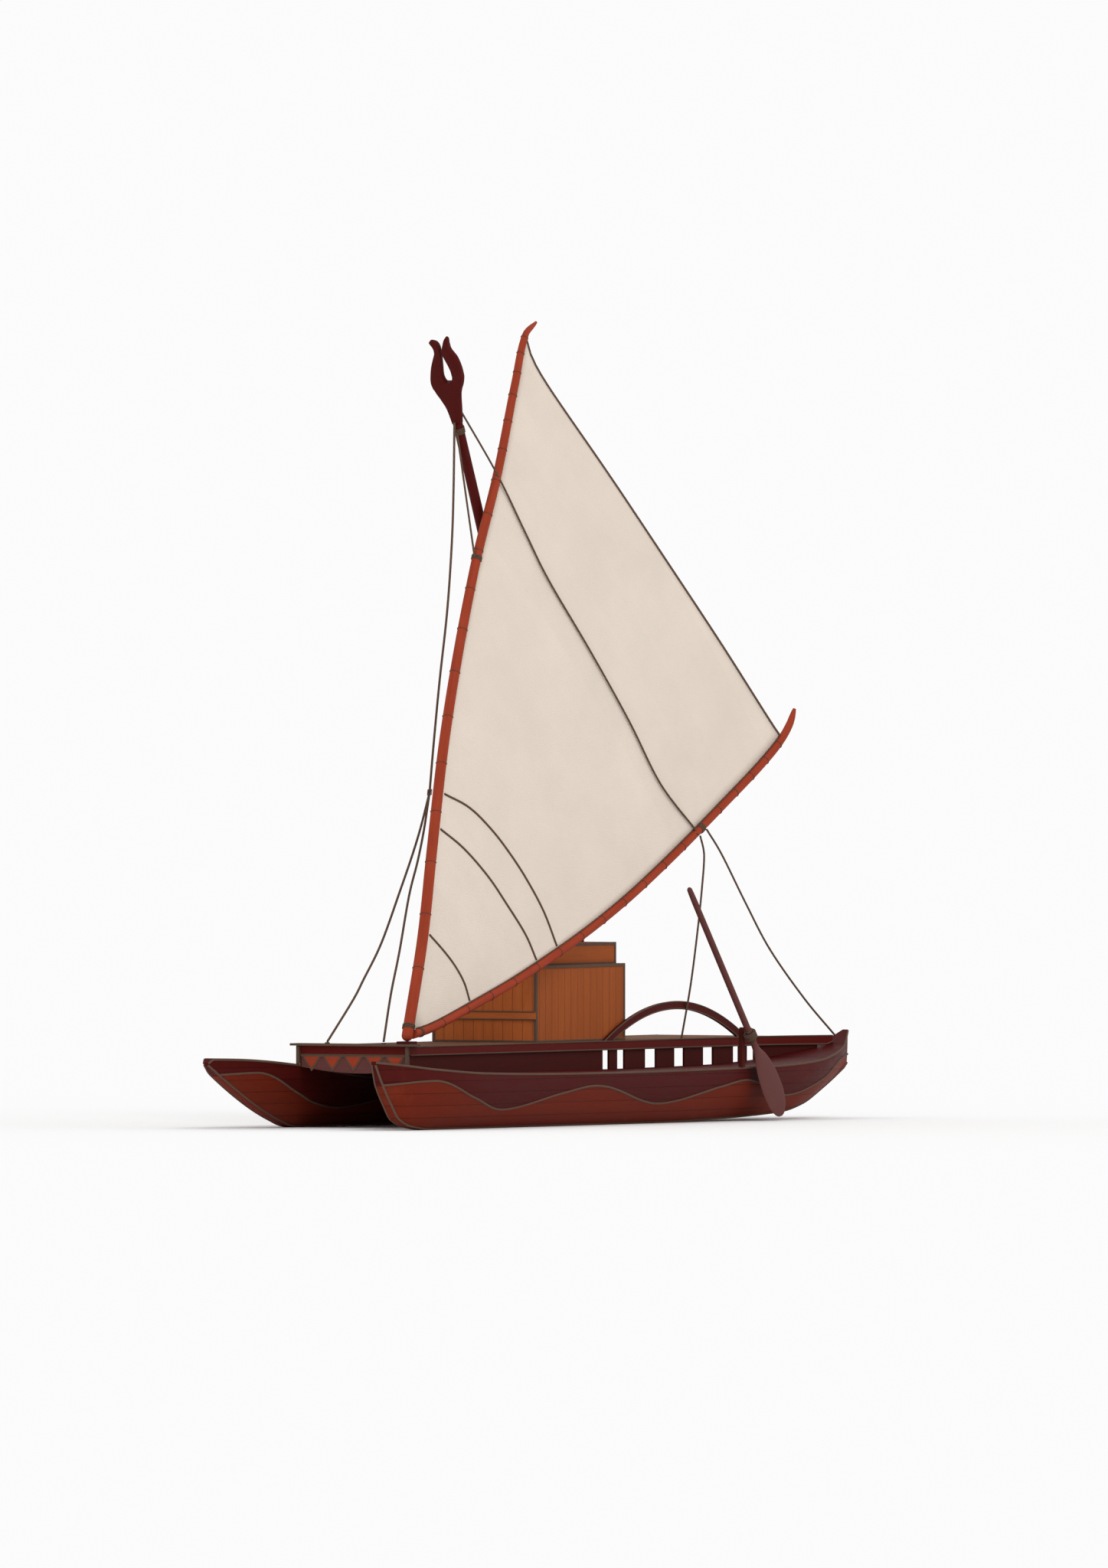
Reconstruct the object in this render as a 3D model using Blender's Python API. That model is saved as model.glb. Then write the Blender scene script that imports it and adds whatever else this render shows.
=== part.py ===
"""Double-hulled sailing canoe: a main hull and a smaller outrigger hull under one platform.

The platform carries a deckhouse, a raked mast with a forked head, a crab-claw sail laced between a yard
and a boom, a hoop rail and a steering oar in a collar. Sizes are in metres, +Z is up, the bow points
towards -X and port towards -Y. The canoe stands on its two keels at z = 0.

Every position below is measured from the mid-plane between the two hulls. The whole canoe is then moved
sideways by MID_Y, so that its bounding box is centred on the origin.
"""

import math
from bisect import bisect_right
from dataclasses import dataclass

import bmesh
import bpy
from mathutils import Matrix, Vector

# Overall
SEAT = 0.0003
HULL_OFFSET = 2.05
OUTRIGGER_HALF_BEAM = 0.75
OAR_OFFSET = 3.07
COLLAR_HALF = 0.1497
MID_Y = (OAR_OFFSET + COLLAR_HALF - HULL_OFFSET - OUTRIGGER_HALF_BEAM) / 2
HULL_STATIONS = 44
SHARP_ANGLE = math.radians(35)

# Hulls
KEEL_HALF_WIDTH = 0.08
END_HALF_WIDTH = 0.06
PLAN_FULLNESS = 2.4
BILGE_FULLNESS = 0.8
BOTTOM_START_DEPTH = 0.03

# Platform
PLATFORM_FRONT = -7.26
PLATFORM_BACK = 8.0
PLATFORM_HALF = 1.33
DECK_TOP = 1.75
DECK_THICKNESS = 0.04
FASCIA_BOTTOM = 1.55
FASCIA_THICKNESS = 0.04
FASCIA_BACK = 7.4
BOARD_THICKNESS = 0.05
BEAM_BOTTOM = 1.60
BEAM_HALF_WIDTH = 0.07
BEAM_COUNT = 8
RAIL_BOTTOM = 1.56
WASHBOARD_BACK = 0.96
STARBOARD_WASHBOARD_BACK = 5.2
STANCHIONS = ((1.24, 1.58), (1.90, 2.76), (3.24, 4.00), (4.43, 5.22), (5.66, 6.49), (6.76, 7.08))
PANEL_FRONT = -7.295
PANEL_BACK = -7.265
POST_FRONT = -7.37
POST_WIDTH = 0.07
CAP_FRONT = -7.42
CAP_BACK = -7.05
CAP_HALF = 1.50
CAP_TOP = 1.80

# Stern wing, the bulwark that sweeps outboard over the main hull's stern
WING_BACK = 9.5
WING_SWEEP = 0.66
WING_CURVE = 1.8
WING_STEPS = 12
WING_BOARD_BACK = 9.2

# Deckhouse
HOUSE_FRONT = -1.75
HOUSE_BACK = 2.00
HOUSE_HALF = 1.265
HOUSE_WALL = 0.05
HOUSE_WALL_TOP = 3.30
ROOF_TOP = 3.37
ROOF_INSET = 0.14
ROOF_BLOCK_TOP = 3.82
ROOF_BLOCK_WALL = 0.04
DOOR_HALF = 0.42
DOOR_TOP = 3.05
HOUSE_RAIL_LOW = 2.24
HOUSE_RAIL_HIGH = 2.40

# Hoop rail on the port edge of the deck
HOOP_MIDDLE = 3.995
HOOP_OUTER_HALF = 3.00
HOOP_INNER_HALF = 2.65
HOOP_OUTER_RISE = 0.79
HOOP_INNER_RISE = 0.63
HOOP_OUTBOARD = -1.365
HOOP_INBOARD = -1.275
HOOP_STEPS = 20

# Mast, leaning forward
MAST_STEP_TOP = 1.83
MAST_FOOT = Vector((3.10, 0.0, MAST_STEP_TOP + SEAT))
MAST_HEAD = Vector((-2.975, -0.05, 14.90))
MAST_FOOT_RADIUS = 0.15
MAST_HEAD_RADIUS = 0.105
MAST_SIDES = 16
FORK_THICKNESS = 0.16
FORK_OUTLINE = (  # height above the mast head, distance to starboard of the mast
    (0.00, 0.110), (0.35, 0.175), (0.56, 0.27), (0.72, 0.37), (0.93, 0.42), (1.14, 0.38), (1.32, 0.32),
    (1.51, 0.23), (1.66, 0.155), (1.78, 0.165), (1.91, 0.235), (1.95, 0.14), (1.87, 0.035),
    (1.77, 0.005), (1.65, 0.012), (1.55, 0.02), (1.32, 0.045), (1.11, 0.07), (0.96, 0.03),
    (0.93, -0.02), (1.00, -0.11), (1.11, -0.145), (1.24, -0.135), (1.41, -0.085), (1.58, -0.035),
    (1.65, -0.022), (1.78, -0.058), (1.96, -0.135), (2.04, -0.215), (1.97, -0.25), (1.80, -0.21),
    (1.69, -0.275), (1.55, -0.36), (1.35, -0.405), (1.14, -0.415), (0.97, -0.38), (0.80, -0.295),
    (0.60, -0.235), (0.35, -0.19), (0.00, -0.110),
)

# Rig: the yard's ball foot is the tack, on which the whole rig turns
TACK_BLOCK_TOP = 1.86
YARD_FOOT_RADIUS = 0.12
TACK = Vector((-7.19, -1.25, TACK_BLOCK_TOP + SEAT + YARD_FOOT_RADIUS))
YARD = (  # x, y, z up the middle of the yard
    (TACK.x, TACK.y, TACK.z), (-6.26, -1.10, 4.10), (-5.64, -0.954, 5.85), (-4.67, -0.722, 8.32),
    (-2.92, -0.43, 11.82), (-1.74, -0.30, 13.76), (-0.66, -0.12, 15.70), (0.0, 0.0, 16.74),
    (0.52, 0.05, 16.98),
)
YARD_RADII = ((TACK.z, YARD_FOOT_RADIUS), (8.3, 0.11), (15.0, 0.09), (16.6, 0.06), (16.98, 0.02))
BOOM = (  # x, z along the middle of the boom
    (-7.10, 2.00), (-6.50, 2.10), (-5.75, 2.29), (-4.68, 2.60), (-3.24, 3.03), (-1.81, 3.52),
    (-0.37, 4.055), (1.18, 4.715), (2.97, 5.60), (5.13, 6.765), (6.56, 7.57), (7.28, 8.05),
    (7.635, 8.40), (7.80, 8.69),
)
BOOM_SPLAY = 0.05
BOOM_RADII = ((-7.10, 0.09), (3.0, 0.09), (6.8, 0.08), (7.80, 0.03))
SPAR_STEPS = 20
SPAR_SIDES = 12
YARD_CROWDING = 1.6
BOOM_CROWDING = 1.3
TACK_LACING = 0.35
SAIL_LAST_STEP = 18
SAIL_THICKNESS = 0.012
SAIL_GAP = 0.0005
SAIL_STRIPS = 8

# Stays
ROPE_RADIUS = 0.025
STAY_HEAD_DROP = 0.4
BRIDLE_APEX = Vector((-4.08, 0.0, 7.08))
BRIDLE_FOOT_X = -7.20
BRIDLE_FOOT_Y = 0.68

# Steering oar
OAR_PIVOT = Vector((4.209, -OAR_OFFSET, 1.83))
OAR_LEAN = math.radians(39.5)
OAR_SIDES = 24
OAR_SHAFT = 0.07
OAR_STATIONS = (  # distance down the oar from the pivot, half-width, half-thickness
    (-4.10, 0.030, 0.030), (-4.06, 0.055, 0.055), (-3.7, 0.065, 0.065), (-0.4, OAR_SHAFT, OAR_SHAFT),
    (0.25, OAR_SHAFT, OAR_SHAFT), (0.45, 0.13, 0.055), (0.70, 0.25, 0.035), (1.00, 0.33, 0.028),
    (1.35, 0.37, 0.025), (1.70, 0.36, 0.025), (1.95, 0.29, 0.022), (2.10, 0.19, 0.018),
    (2.18, 0.07, 0.012),
)
COLLAR_HALF_LENGTH = 0.09
COLLAR_BORE = 0.0709
OAR_POST_X = (4.149, 4.269)
OAR_POST_Y = (-2.92, -2.80)
OAR_POST_TOP = 2.00

# Finishes: sRGB colour from 0 to 255, then roughness
MAROON = ((76, 19, 16), 0.55)
RED_BROWN = ((109, 36, 19), 0.55)
HOUSE_BROWN = ((152, 79, 39), 0.6)
DARK_BOARD = ((63, 25, 23), 0.65)
SPAR_RED = ((152, 60, 38), 0.5)
PLUM = ((98, 58, 55), 0.6)
TAUPE = ((95, 74, 62), 0.7)
SAIL_CREAM = ((225, 212, 198), 0.9)
DECK_WOOD = ((118, 82, 62), 0.7)


def linear(channel):
    """One sRGB channel from 0 to 255 as a linear value."""
    value = channel / 255
    if value <= 0.04045:
        return value / 12.92
    return ((value + 0.055) / 1.055) ** 2.4


def finish_material(name, finish):
    """A plain Principled material of one colour and roughness."""
    colour, roughness = finish
    material = bpy.data.materials.new(name)
    material.use_nodes = True
    shader = material.node_tree.nodes["Principled BSDF"]
    shader.inputs["Base Color"].default_value = (*[linear(c) for c in colour], 1.0)
    shader.inputs["Roughness"].default_value = roughness
    shader.inputs["Metallic"].default_value = 0.0
    return material


def make(name, bm, finish, origin=(0.0, 0.0, 0.0)):
    """Add one closed piece to the scene, with its own material and its origin at the given point."""
    origin = Vector(origin)
    bmesh.ops.translate(bm, verts=bm.verts, vec=-origin)
    bmesh.ops.recalc_face_normals(bm, faces=bm.faces)
    mesh = bpy.data.meshes.new(name)
    bm.to_mesh(mesh)
    bm.free()
    mesh.shade_smooth()
    mesh.set_sharp_from_angle(angle=SHARP_ANGLE)
    mesh.materials.append(finish_material(name, finish))
    piece = bpy.data.objects.new(name, mesh)
    piece.location = origin + Vector((0.0, MID_Y, 0.0))
    bpy.context.collection.objects.link(piece)
    return piece


def loft(rings, capped=True):
    """Skin a row of rings with equal counts of points, with both ends capped or joined to each other."""
    bm = bmesh.new()
    loops = [[bm.verts.new(point) for point in ring] for ring in rings]
    pairs = list(zip(loops, loops[1:]))
    if not capped:
        pairs.append((loops[-1], loops[0]))
    count = len(loops[0])
    for near, far in pairs:
        for i in range(count):
            j = (i + 1) % count
            bm.faces.new((near[i], near[j], far[j], far[i]))
    if capped:
        bm.faces.new(loops[0])
        bm.faces.new(loops[-1][::-1])
    return bm


def prism(outline, offset):
    """A flat outline swept along one straight offset."""
    start = [Vector(point) for point in outline]
    return loft([start, [point + Vector(offset) for point in start]])


def box(low, high):
    """A block between two corners."""
    outline = [(low[0], low[1], low[2]), (high[0], low[1], low[2]), (high[0], high[1], low[2]),
               (low[0], high[1], low[2])]
    return prism(outline, (0.0, 0.0, high[2] - low[2]))


def rectangle(x_low, x_high, half, z):
    """Four corners of a level rectangle, centred on the mid-plane."""
    return [(x_low, -half, z), (x_high, -half, z), (x_high, half, z), (x_low, half, z)]


def smooth(points, x):
    """Value at x of a smooth line through (x, value) points that never overshoots them."""
    xs = [point[0] for point in points]
    ys = [point[1] for point in points]
    steps = [b - a for a, b in zip(xs, xs[1:])]
    slopes = [(b - a) / step for a, b, step in zip(ys, ys[1:], steps)]
    tangents = [slopes[0]]
    for before, after in zip(slopes, slopes[1:]):
        flat = before * after <= 0
        tangents.append(0.0 if flat else 2 * before * after / (before + after))
    tangents.append(slopes[-1])
    i = min(max(bisect_right(xs, x) - 1, 0), len(steps) - 1)
    t = min(max((x - xs[i]) / steps[i], 0.0), 1.0)
    rise = ys[i + 1] - ys[i]
    start = tangents[i] * steps[i]
    end = tangents[i + 1] * steps[i]
    return ys[i] + t * (start + t * (3 * rise - 2 * start - end + t * (start + end - 2 * rise)))


def tube(points, radii, facing, sides, first_normal=None, last_normal=None):
    """Round rings along a run of points. Each ring's first corner points along its own facing vector."""
    rings = []
    last = len(points) - 1
    for i, (point, radius, face) in enumerate(zip(points, radii, facing)):
        along = (points[min(i + 1, last)] - points[max(i - 1, 0)]).normalized()
        out = (face - along * face.dot(along)).normalized()
        side = along.cross(out)
        normal = {0: first_normal, last: last_normal}.get(i)
        ring = []
        for k in range(sides):
            angle = 2 * math.pi * k / sides
            spoke = (out * math.cos(angle) + side * math.sin(angle)) * radius
            if normal:
                spoke -= along * (spoke.dot(normal) / along.dot(normal))
            ring.append(point + spoke)
        rings.append(ring)
    return rings


@dataclass(frozen=True)
class Hull:
    """One hull, decked over and split along the painted wave line into a bottom and a topside."""

    name: str
    centre: float
    bow: float
    stern: float
    half_beam: float
    full_from: float
    full_to: float
    sheer: tuple
    keel: tuple
    wave: tuple

    def stations(self):
        """Places along the hull, closer together at its ends, with one where the bottom starts."""
        middle = (self.bow + self.stern) / 2
        half = (self.stern - self.bow) / 2
        places = [middle - half * math.cos(math.pi * i / HULL_STATIONS) for i in range(HULL_STATIONS + 1)]
        return sorted([*places, self.bottom_start()])

    def bottom_start(self):
        """Where the wave line first rises clear of the stem."""
        x = self.bow
        while smooth(self.wave, x) - smooth(self.keel, x) < BOTTOM_START_DEPTH:
            x += 0.01
        return x

    def plan(self, x):
        """Half the deck's width."""
        if x < self.full_from:
            t = (self.full_from - x) / (self.full_from - self.bow)
        else:
            t = max(x - self.full_to, 0.0) / (self.stern - self.full_to)
        return END_HALF_WIDTH + (self.half_beam - END_HALF_WIDTH) * (1 - t ** PLAN_FULLNESS)

    def half_width(self, x, z):
        """Half the hull's width at one height of one section."""
        low = smooth(self.keel, x)
        t = min(max((z - low) / (smooth(self.sheer, x) - low), 0.0), 1.0)
        plan = self.plan(x)
        keel = min(KEEL_HALF_WIDTH, plan / 2)
        return keel + (plan - keel) * (1 - (1 - t) ** 2) ** BILGE_FULLNESS

    def deck(self, x):
        """Height of the deck's surface, which runs straight from station to station."""
        places = self.stations()
        i = min(max(bisect_right(places, x) - 1, 0), len(places) - 2)
        t = (x - places[i]) / (places[i + 1] - places[i])
        return smooth(self.sheer, places[i]) * (1 - t) + smooth(self.sheer, places[i + 1]) * t

    def deck_run(self, x_low, x_high):
        """Points (x, z) just above the deck, with one at each station between two places."""
        inner = [x for x in self.stations() if x_low < x < x_high]
        return [(x, self.deck(x) + SEAT) for x in [x_low, *inner, x_high]]

    def section(self, x, low, high, levels):
        """One ring of the hull between two heights, flat below and above."""
        heights = [low + (high - low) * i / levels for i in range(levels + 1)]
        side = [(self.half_width(x, z), z) for z in heights]
        port = [(x, self.centre - w, z) for w, z in reversed(side)]
        starboard = [(x, self.centre + w, z) for w, z in side]
        return port + starboard

    def make_bottom(self):
        rings = []
        for x in self.stations():
            if x >= self.bottom_start():
                rings.append(self.section(x, smooth(self.keel, x), smooth(self.wave, x) - SEAT / 2, 6))
        make(f"{self.name}_bottom", loft(rings), RED_BROWN)

    def make_topside(self):
        rings = []
        for x in self.stations():
            keel = smooth(self.keel, x)
            low = keel if x < self.bottom_start() else smooth(self.wave, x) + SEAT / 2
            rings.append(self.section(x, low, smooth(self.sheer, x), 4))
        make(f"{self.name}_topside", loft(rings), MAROON)


MAIN = Hull(
    name="main_hull", centre=-HULL_OFFSET, bow=-10.0, stern=10.0, half_beam=0.80,
    full_from=-6.2, full_to=6.2,
    sheer=((-10.0, 1.48), (-9.19, 1.40), (-8.44, 1.32), (-6.62, 1.21), (-3.2, 1.15), (0.0, 1.14),
           (2.6, 1.15), (5.7, 1.18), (6.8, 1.22), (7.85, 1.29), (8.77, 1.42), (9.33, 1.53),
           (9.63, 1.66), (10.0, 1.86)),
    keel=((-10.0, 1.38), (-9.77, 0.95), (-9.4, 0.50), (-9.12, 0.22), (-8.6, 0.06), (-7.9, 0.0),
          (2.0, 0.0), (4.68, 0.05), (7.07, 0.15), (7.93, 0.30), (8.78, 0.61), (10.0, 1.13)),
    wave=((-10.0, 0.95), (-9.77, 0.97), (-8.4, 1.05), (-6.91, 0.68), (-5.5, 0.40), (-3.18, 0.72),
          (-1.9, 0.855), (1.1, 0.43), (3.6, 0.77), (4.5, 0.88), (6.5, 0.53), (8.16, 0.86),
          (9.1, 1.23), (10.0, 1.34)),
)
OUTRIGGER = Hull(
    name="outrigger_hull", centre=HULL_OFFSET, bow=-10.0, stern=5.4,
    half_beam=OUTRIGGER_HALF_BEAM,
    full_from=-6.2, full_to=2.4,
    sheer=((-10.0, 1.43), (-9.86, 1.51), (-9.3, 1.50), (-7.33, 1.36), (-6.09, 1.22), (-4.29, 1.06),
           (-2.95, 0.99), (2.0, 0.98), (5.4, 1.12)),
    keel=((-10.0, 1.34), (-9.62, 1.12), (-7.14, 0.145), (-6.45, 0.0), (3.2, 0.0), (5.4, 0.55)),
    wave=((-10.0, 1.12), (-9.57, 1.16), (-8.65, 1.19), (-7.14, 0.74), (-6.38, 0.52), (-5.33, 0.40),
          (-4.29, 0.48), (-2.9, 0.64), (0.2, 0.40), (3.2, 0.66), (5.4, 0.80)),
)


def board(name, run, top, y_low, y_high, finish):
    """An upright board whose lower edge follows a run of (x, z) points."""
    outline = [(x, y_low, z) for x, z in run]
    outline += [(run[-1][0], y_low, top), (run[0][0], y_low, top)]
    return make(name, prism(outline, (0.0, y_high - y_low, 0.0)), finish)


def make_side_boards():
    """Washboards, port stanchions and the rail that they carry."""
    outer = -PLATFORM_HALF
    inner = outer + BOARD_THICKNESS
    start = PLATFORM_FRONT + SEAT
    board("port_washboard", MAIN.deck_run(start, WASHBOARD_BACK), BEAM_BOTTOM, outer, inner, DARK_BOARD)
    board("starboard_washboard", OUTRIGGER.deck_run(start, STARBOARD_WASHBOARD_BACK), BEAM_BOTTOM,
          -inner, -outer, DARK_BOARD)
    for i, (x_low, x_high) in enumerate(STANCHIONS, start=1):
        board(f"port_stanchion_{i}", MAIN.deck_run(x_low, x_high), RAIL_BOTTOM - SEAT, outer, inner,
              DARK_BOARD)
    rail = box((WASHBOARD_BACK + SEAT, outer, RAIL_BOTTOM), (FASCIA_BACK, inner, BEAM_BOTTOM))
    make("port_rail", rail, DARK_BOARD)


def make_beams_and_deck():
    """Crossbeams from fascia to fascia, and the planking on them."""
    half = PLATFORM_HALF - SEAT
    beam_top = DECK_TOP - DECK_THICKNESS - SEAT
    first = PLATFORM_FRONT + BEAM_HALF_WIDTH + 0.05
    last = FASCIA_BACK - BEAM_HALF_WIDTH - 0.05
    for i in range(BEAM_COUNT):
        x = first + (last - first) * i / (BEAM_COUNT - 1)
        beam = box((x - BEAM_HALF_WIDTH, -half, BEAM_BOTTOM + SEAT), (x + BEAM_HALF_WIDTH, half, beam_top))
        make(f"crossbeam_{i + 1}", beam, DARK_BOARD)
    deck = box((PLATFORM_FRONT + SEAT, -half, DECK_TOP - DECK_THICKNESS),
               (PLATFORM_BACK - SEAT, half, DECK_TOP))
    make("deck_planking", deck, DECK_WOOD)


def make_fascias():
    """The maroon band round the platform's edge."""
    inner = PLATFORM_HALF
    outer = PLATFORM_HALF + FASCIA_THICKNESS
    for name, y_low, y_high, back in (("port_fascia", -outer, -inner, FASCIA_BACK),
                                      ("starboard_fascia", inner, outer, PLATFORM_BACK)):
        make(name, box((PLATFORM_FRONT + SEAT, y_low, FASCIA_BOTTOM), (back, y_high, DECK_TOP)), MAROON)
    front = PLATFORM_FRONT - FASCIA_THICKNESS
    make("front_fascia", box((front, -outer, FASCIA_BOTTOM), (PLATFORM_FRONT, outer, DECK_TOP)), MAROON)
    back = PLATFORM_BACK + FASCIA_THICKNESS
    make("rear_fascia", box((PLATFORM_BACK, -inner + SEAT, FASCIA_BOTTOM),
                            (back, inner - SEAT, DECK_TOP)), MAROON)


def wing_outer(x):
    """How far outboard the stern wing's outer face lies."""
    t = max(x - FASCIA_BACK, 0.0) / (WING_BACK - FASCIA_BACK)
    return -PLATFORM_HALF - FASCIA_THICKNESS - WING_SWEEP * t ** WING_CURVE


def make_wing(name, back, y_inset, thickness, low, top, finish):
    """A curved bulwark over the main hull's deck, following the wing's sweep."""
    start = FASCIA_BACK + SEAT
    places = [start + (WING_BACK - start) * i / WING_STEPS for i in range(WING_STEPS + 1)]
    places = sorted([*places, *[x for x in MAIN.stations() if start < x < WING_BACK]])
    rings = []
    for x in [x for x in places if x <= back]:
        y = wing_outer(x) + y_inset
        foot = max(low, MAIN.deck(x) + SEAT)
        rings.append([(x, y, foot), (x, y + thickness, foot), (x, y + thickness, top), (x, y, top)])
    make(name, loft(rings), finish)


def make_stern_wing():
    make_wing("stern_wing", WING_BACK, 0.0, FASCIA_THICKNESS - SEAT, FASCIA_BOTTOM, DECK_TOP, MAROON)
    make_wing("stern_wing_board", WING_BOARD_BACK, FASCIA_THICKNESS, BOARD_THICKNESS, 0.0, BEAM_BOTTOM,
              DARK_BOARD)


def make_front():
    """The painted panel, the corner posts and the cap along the platform's front edge."""
    half = PLATFORM_HALF - BOARD_THICKNESS
    top = FASCIA_BOTTOM - SEAT
    sag = [(half * (1 - 2 * i / 8), 1.30 - 0.10 * math.sin(math.pi * i / 8) - 0.06 * i / 8)
           for i in range(9)]
    outline = [(PANEL_FRONT, -half, top), (PANEL_FRONT, half, top)]
    outline += [(PANEL_FRONT, y, z) for y, z in sag]
    make("front_frieze_panel", prism(outline, (PANEL_BACK - PANEL_FRONT, 0.0, 0.0)), PLUM)
    post_back = PLATFORM_FRONT - FASCIA_THICKNESS - SEAT
    outer = PLATFORM_HALF + FASCIA_THICKNESS
    for name, hull, y in (("port_corner_post", MAIN, -outer), ("starboard_corner_post", OUTRIGGER,
                                                               outer - POST_WIDTH)):
        board(name, hull.deck_run(POST_FRONT, post_back), DECK_TOP, y, y + POST_WIDTH, TAUPE)
    cap = box((CAP_FRONT, -CAP_HALF, DECK_TOP + SEAT), (CAP_BACK, CAP_HALF, CAP_TOP))
    make("front_cap", cap, TAUPE)


def make_house():
    """The deckhouse: four walls, one with a doorway, a roof frame and the raised roof block."""
    base = DECK_TOP + SEAT
    front_inner = HOUSE_FRONT + HOUSE_WALL
    back_inner = HOUSE_BACK - HOUSE_WALL
    make("house_front_wall", box((HOUSE_FRONT, -HOUSE_HALF, base),
                                 (front_inner, HOUSE_HALF, HOUSE_WALL_TOP)), HOUSE_BROWN)
    door = [(-HOUSE_HALF, base), (-DOOR_HALF, base), (-DOOR_HALF, DOOR_TOP), (DOOR_HALF, DOOR_TOP),
            (DOOR_HALF, base), (HOUSE_HALF, base), (HOUSE_HALF, HOUSE_WALL_TOP),
            (-HOUSE_HALF, HOUSE_WALL_TOP)]
    rear = prism([(back_inner, y, z) for y, z in door], (HOUSE_WALL, 0.0, 0.0))
    make("house_rear_wall", rear, HOUSE_BROWN)
    for name, y_low, y_high in (("house_port_wall", -HOUSE_HALF, HOUSE_WALL - HOUSE_HALF),
                                ("house_starboard_wall", HOUSE_HALF - HOUSE_WALL, HOUSE_HALF)):
        make(name, box((front_inner + SEAT, y_low, base), (back_inner - SEAT, y_high, HOUSE_WALL_TOP)),
             HOUSE_BROWN)
    rail = box((HOUSE_FRONT - 0.03, -HOUSE_HALF, HOUSE_RAIL_LOW),
               (HOUSE_FRONT - SEAT, HOUSE_HALF, HOUSE_RAIL_HIGH))
    make("house_front_rail", rail, HOUSE_BROWN)
    make_roof()


def make_roof():
    """A flat roof frame, open in the middle, under a hollow block."""
    low = HOUSE_WALL_TOP + SEAT
    block_low = ROOF_TOP + SEAT
    front = HOUSE_FRONT + ROOF_INSET
    back = HOUSE_BACK - ROOF_INSET
    half = HOUSE_HALF - ROOF_INSET
    hole_front = front + ROOF_BLOCK_WALL
    hole_back = back - ROOF_BLOCK_WALL
    hole_half = half - ROOF_BLOCK_WALL
    frame = loft([rectangle(HOUSE_FRONT, HOUSE_BACK, HOUSE_HALF, low),
                  rectangle(HOUSE_FRONT, HOUSE_BACK, HOUSE_HALF, ROOF_TOP),
                  rectangle(hole_front, hole_back, hole_half, ROOF_TOP),
                  rectangle(hole_front, hole_back, hole_half, low)], capped=False)
    make("house_roof", frame, HOUSE_BROWN)
    ceiling = ROOF_BLOCK_TOP - ROOF_BLOCK_WALL
    block = loft([rectangle(hole_front, hole_back, hole_half, ceiling),
                  rectangle(hole_front, hole_back, hole_half, block_low),
                  rectangle(front, back, half, block_low),
                  rectangle(front, back, half, ROOF_BLOCK_TOP)])
    make("roof_block", block, HOUSE_BROWN)


def make_hoop():
    """The arched rail, between two parabolas."""
    def arch(half, rise, t):
        return (HOOP_MIDDLE + half * t, HOOP_OUTBOARD, DECK_TOP + SEAT + rise * (1 - t * t))

    places = [2 * i / HOOP_STEPS - 1 for i in range(HOOP_STEPS + 1)]
    outline = [arch(HOOP_OUTER_HALF, HOOP_OUTER_RISE, t) for t in places]
    outline += [arch(HOOP_INNER_HALF, HOOP_INNER_RISE, t) for t in reversed(places)]
    make("hoop_rail", prism(outline, (0.0, HOOP_INBOARD - HOOP_OUTBOARD, 0.0)), MAROON)


def mast_radius(point):
    """Radius of the evenly tapered mast beside a point of its middle line."""
    t = (point - MAST_FOOT).length / (MAST_HEAD - MAST_FOOT).length
    return MAST_FOOT_RADIUS + (MAST_HEAD_RADIUS - MAST_FOOT_RADIUS) * t


def make_mast():
    """The step, the raked shaft and its forked head."""
    step = box((MAST_FOOT.x - 0.35, -0.28, DECK_TOP + SEAT), (MAST_FOOT.x + 0.35, 0.28, MAST_STEP_TOP))
    make("mast_step", step, DARK_BOARD)
    steps = 6
    points = [MAST_FOOT.lerp(MAST_HEAD, i / steps) for i in range(steps + 1)]
    radii = [mast_radius(point) for point in points]
    aft = Vector((1.0, 0.0, 0.0))
    rings = tube(points, radii, [aft] * len(points), MAST_SIDES, first_normal=Vector((0.0, 0.0, 1.0)))
    make("mast", loft(rings), MAROON)
    up = (MAST_HEAD - MAST_FOOT).normalized()
    starboard = (Vector((0.0, 1.0, 0.0)) - up * up.y).normalized()
    aft = starboard.cross(up)
    base = MAST_HEAD + up * SEAT - aft * FORK_THICKNESS / 2
    outline = [base + up * height + starboard * side for height, side in FORK_OUTLINE]
    make("masthead_fork", prism(outline, aft * FORK_THICKNESS), MAROON)


def spar_fractions(crowding):
    """Places along a spar, from its foot to its tip and closer together near the tip."""
    steps = [0.0, TACK_LACING, *range(1, SPAR_STEPS + 1)]
    return [1 - (1 - step / SPAR_STEPS) ** crowding for step in steps]


def yard_points():
    """The middle of the yard, with its radius at each place."""
    low = YARD[0][2]
    high = YARD[-1][2]
    heights = [low + (high - low) * t for t in spar_fractions(YARD_CROWDING)]
    xs = [(z, x) for x, y, z in YARD]
    ys = [(z, y) for x, y, z in YARD]
    points = [Vector((smooth(xs, z), smooth(ys, z), z)) for z in heights]
    return points, [smooth(YARD_RADII, z) for z in heights]


def boom_points():
    """The middle of the boom, with its radius at each place. It splays outboard as it runs aft."""
    start = BOOM[0][0]
    places = [start + (BOOM[-1][0] - start) * t for t in spar_fractions(BOOM_CROWDING)]
    points = [Vector((x, TACK.y - 0.08 - BOOM_SPLAY * (x - start), smooth(BOOM, x))) for x in places]
    return points, [smooth(BOOM_RADII, x) for x in places]


def tangents(points):
    """Direction of a run of points at each of them."""
    last = len(points) - 1
    return [(points[min(i + 1, last)] - points[max(i - 1, 0)]).normalized() for i in range(last + 1)]


def across(direction, along):
    """The part of a direction that is square to another one."""
    return (direction - along * direction.dot(along)).normalized()


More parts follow.
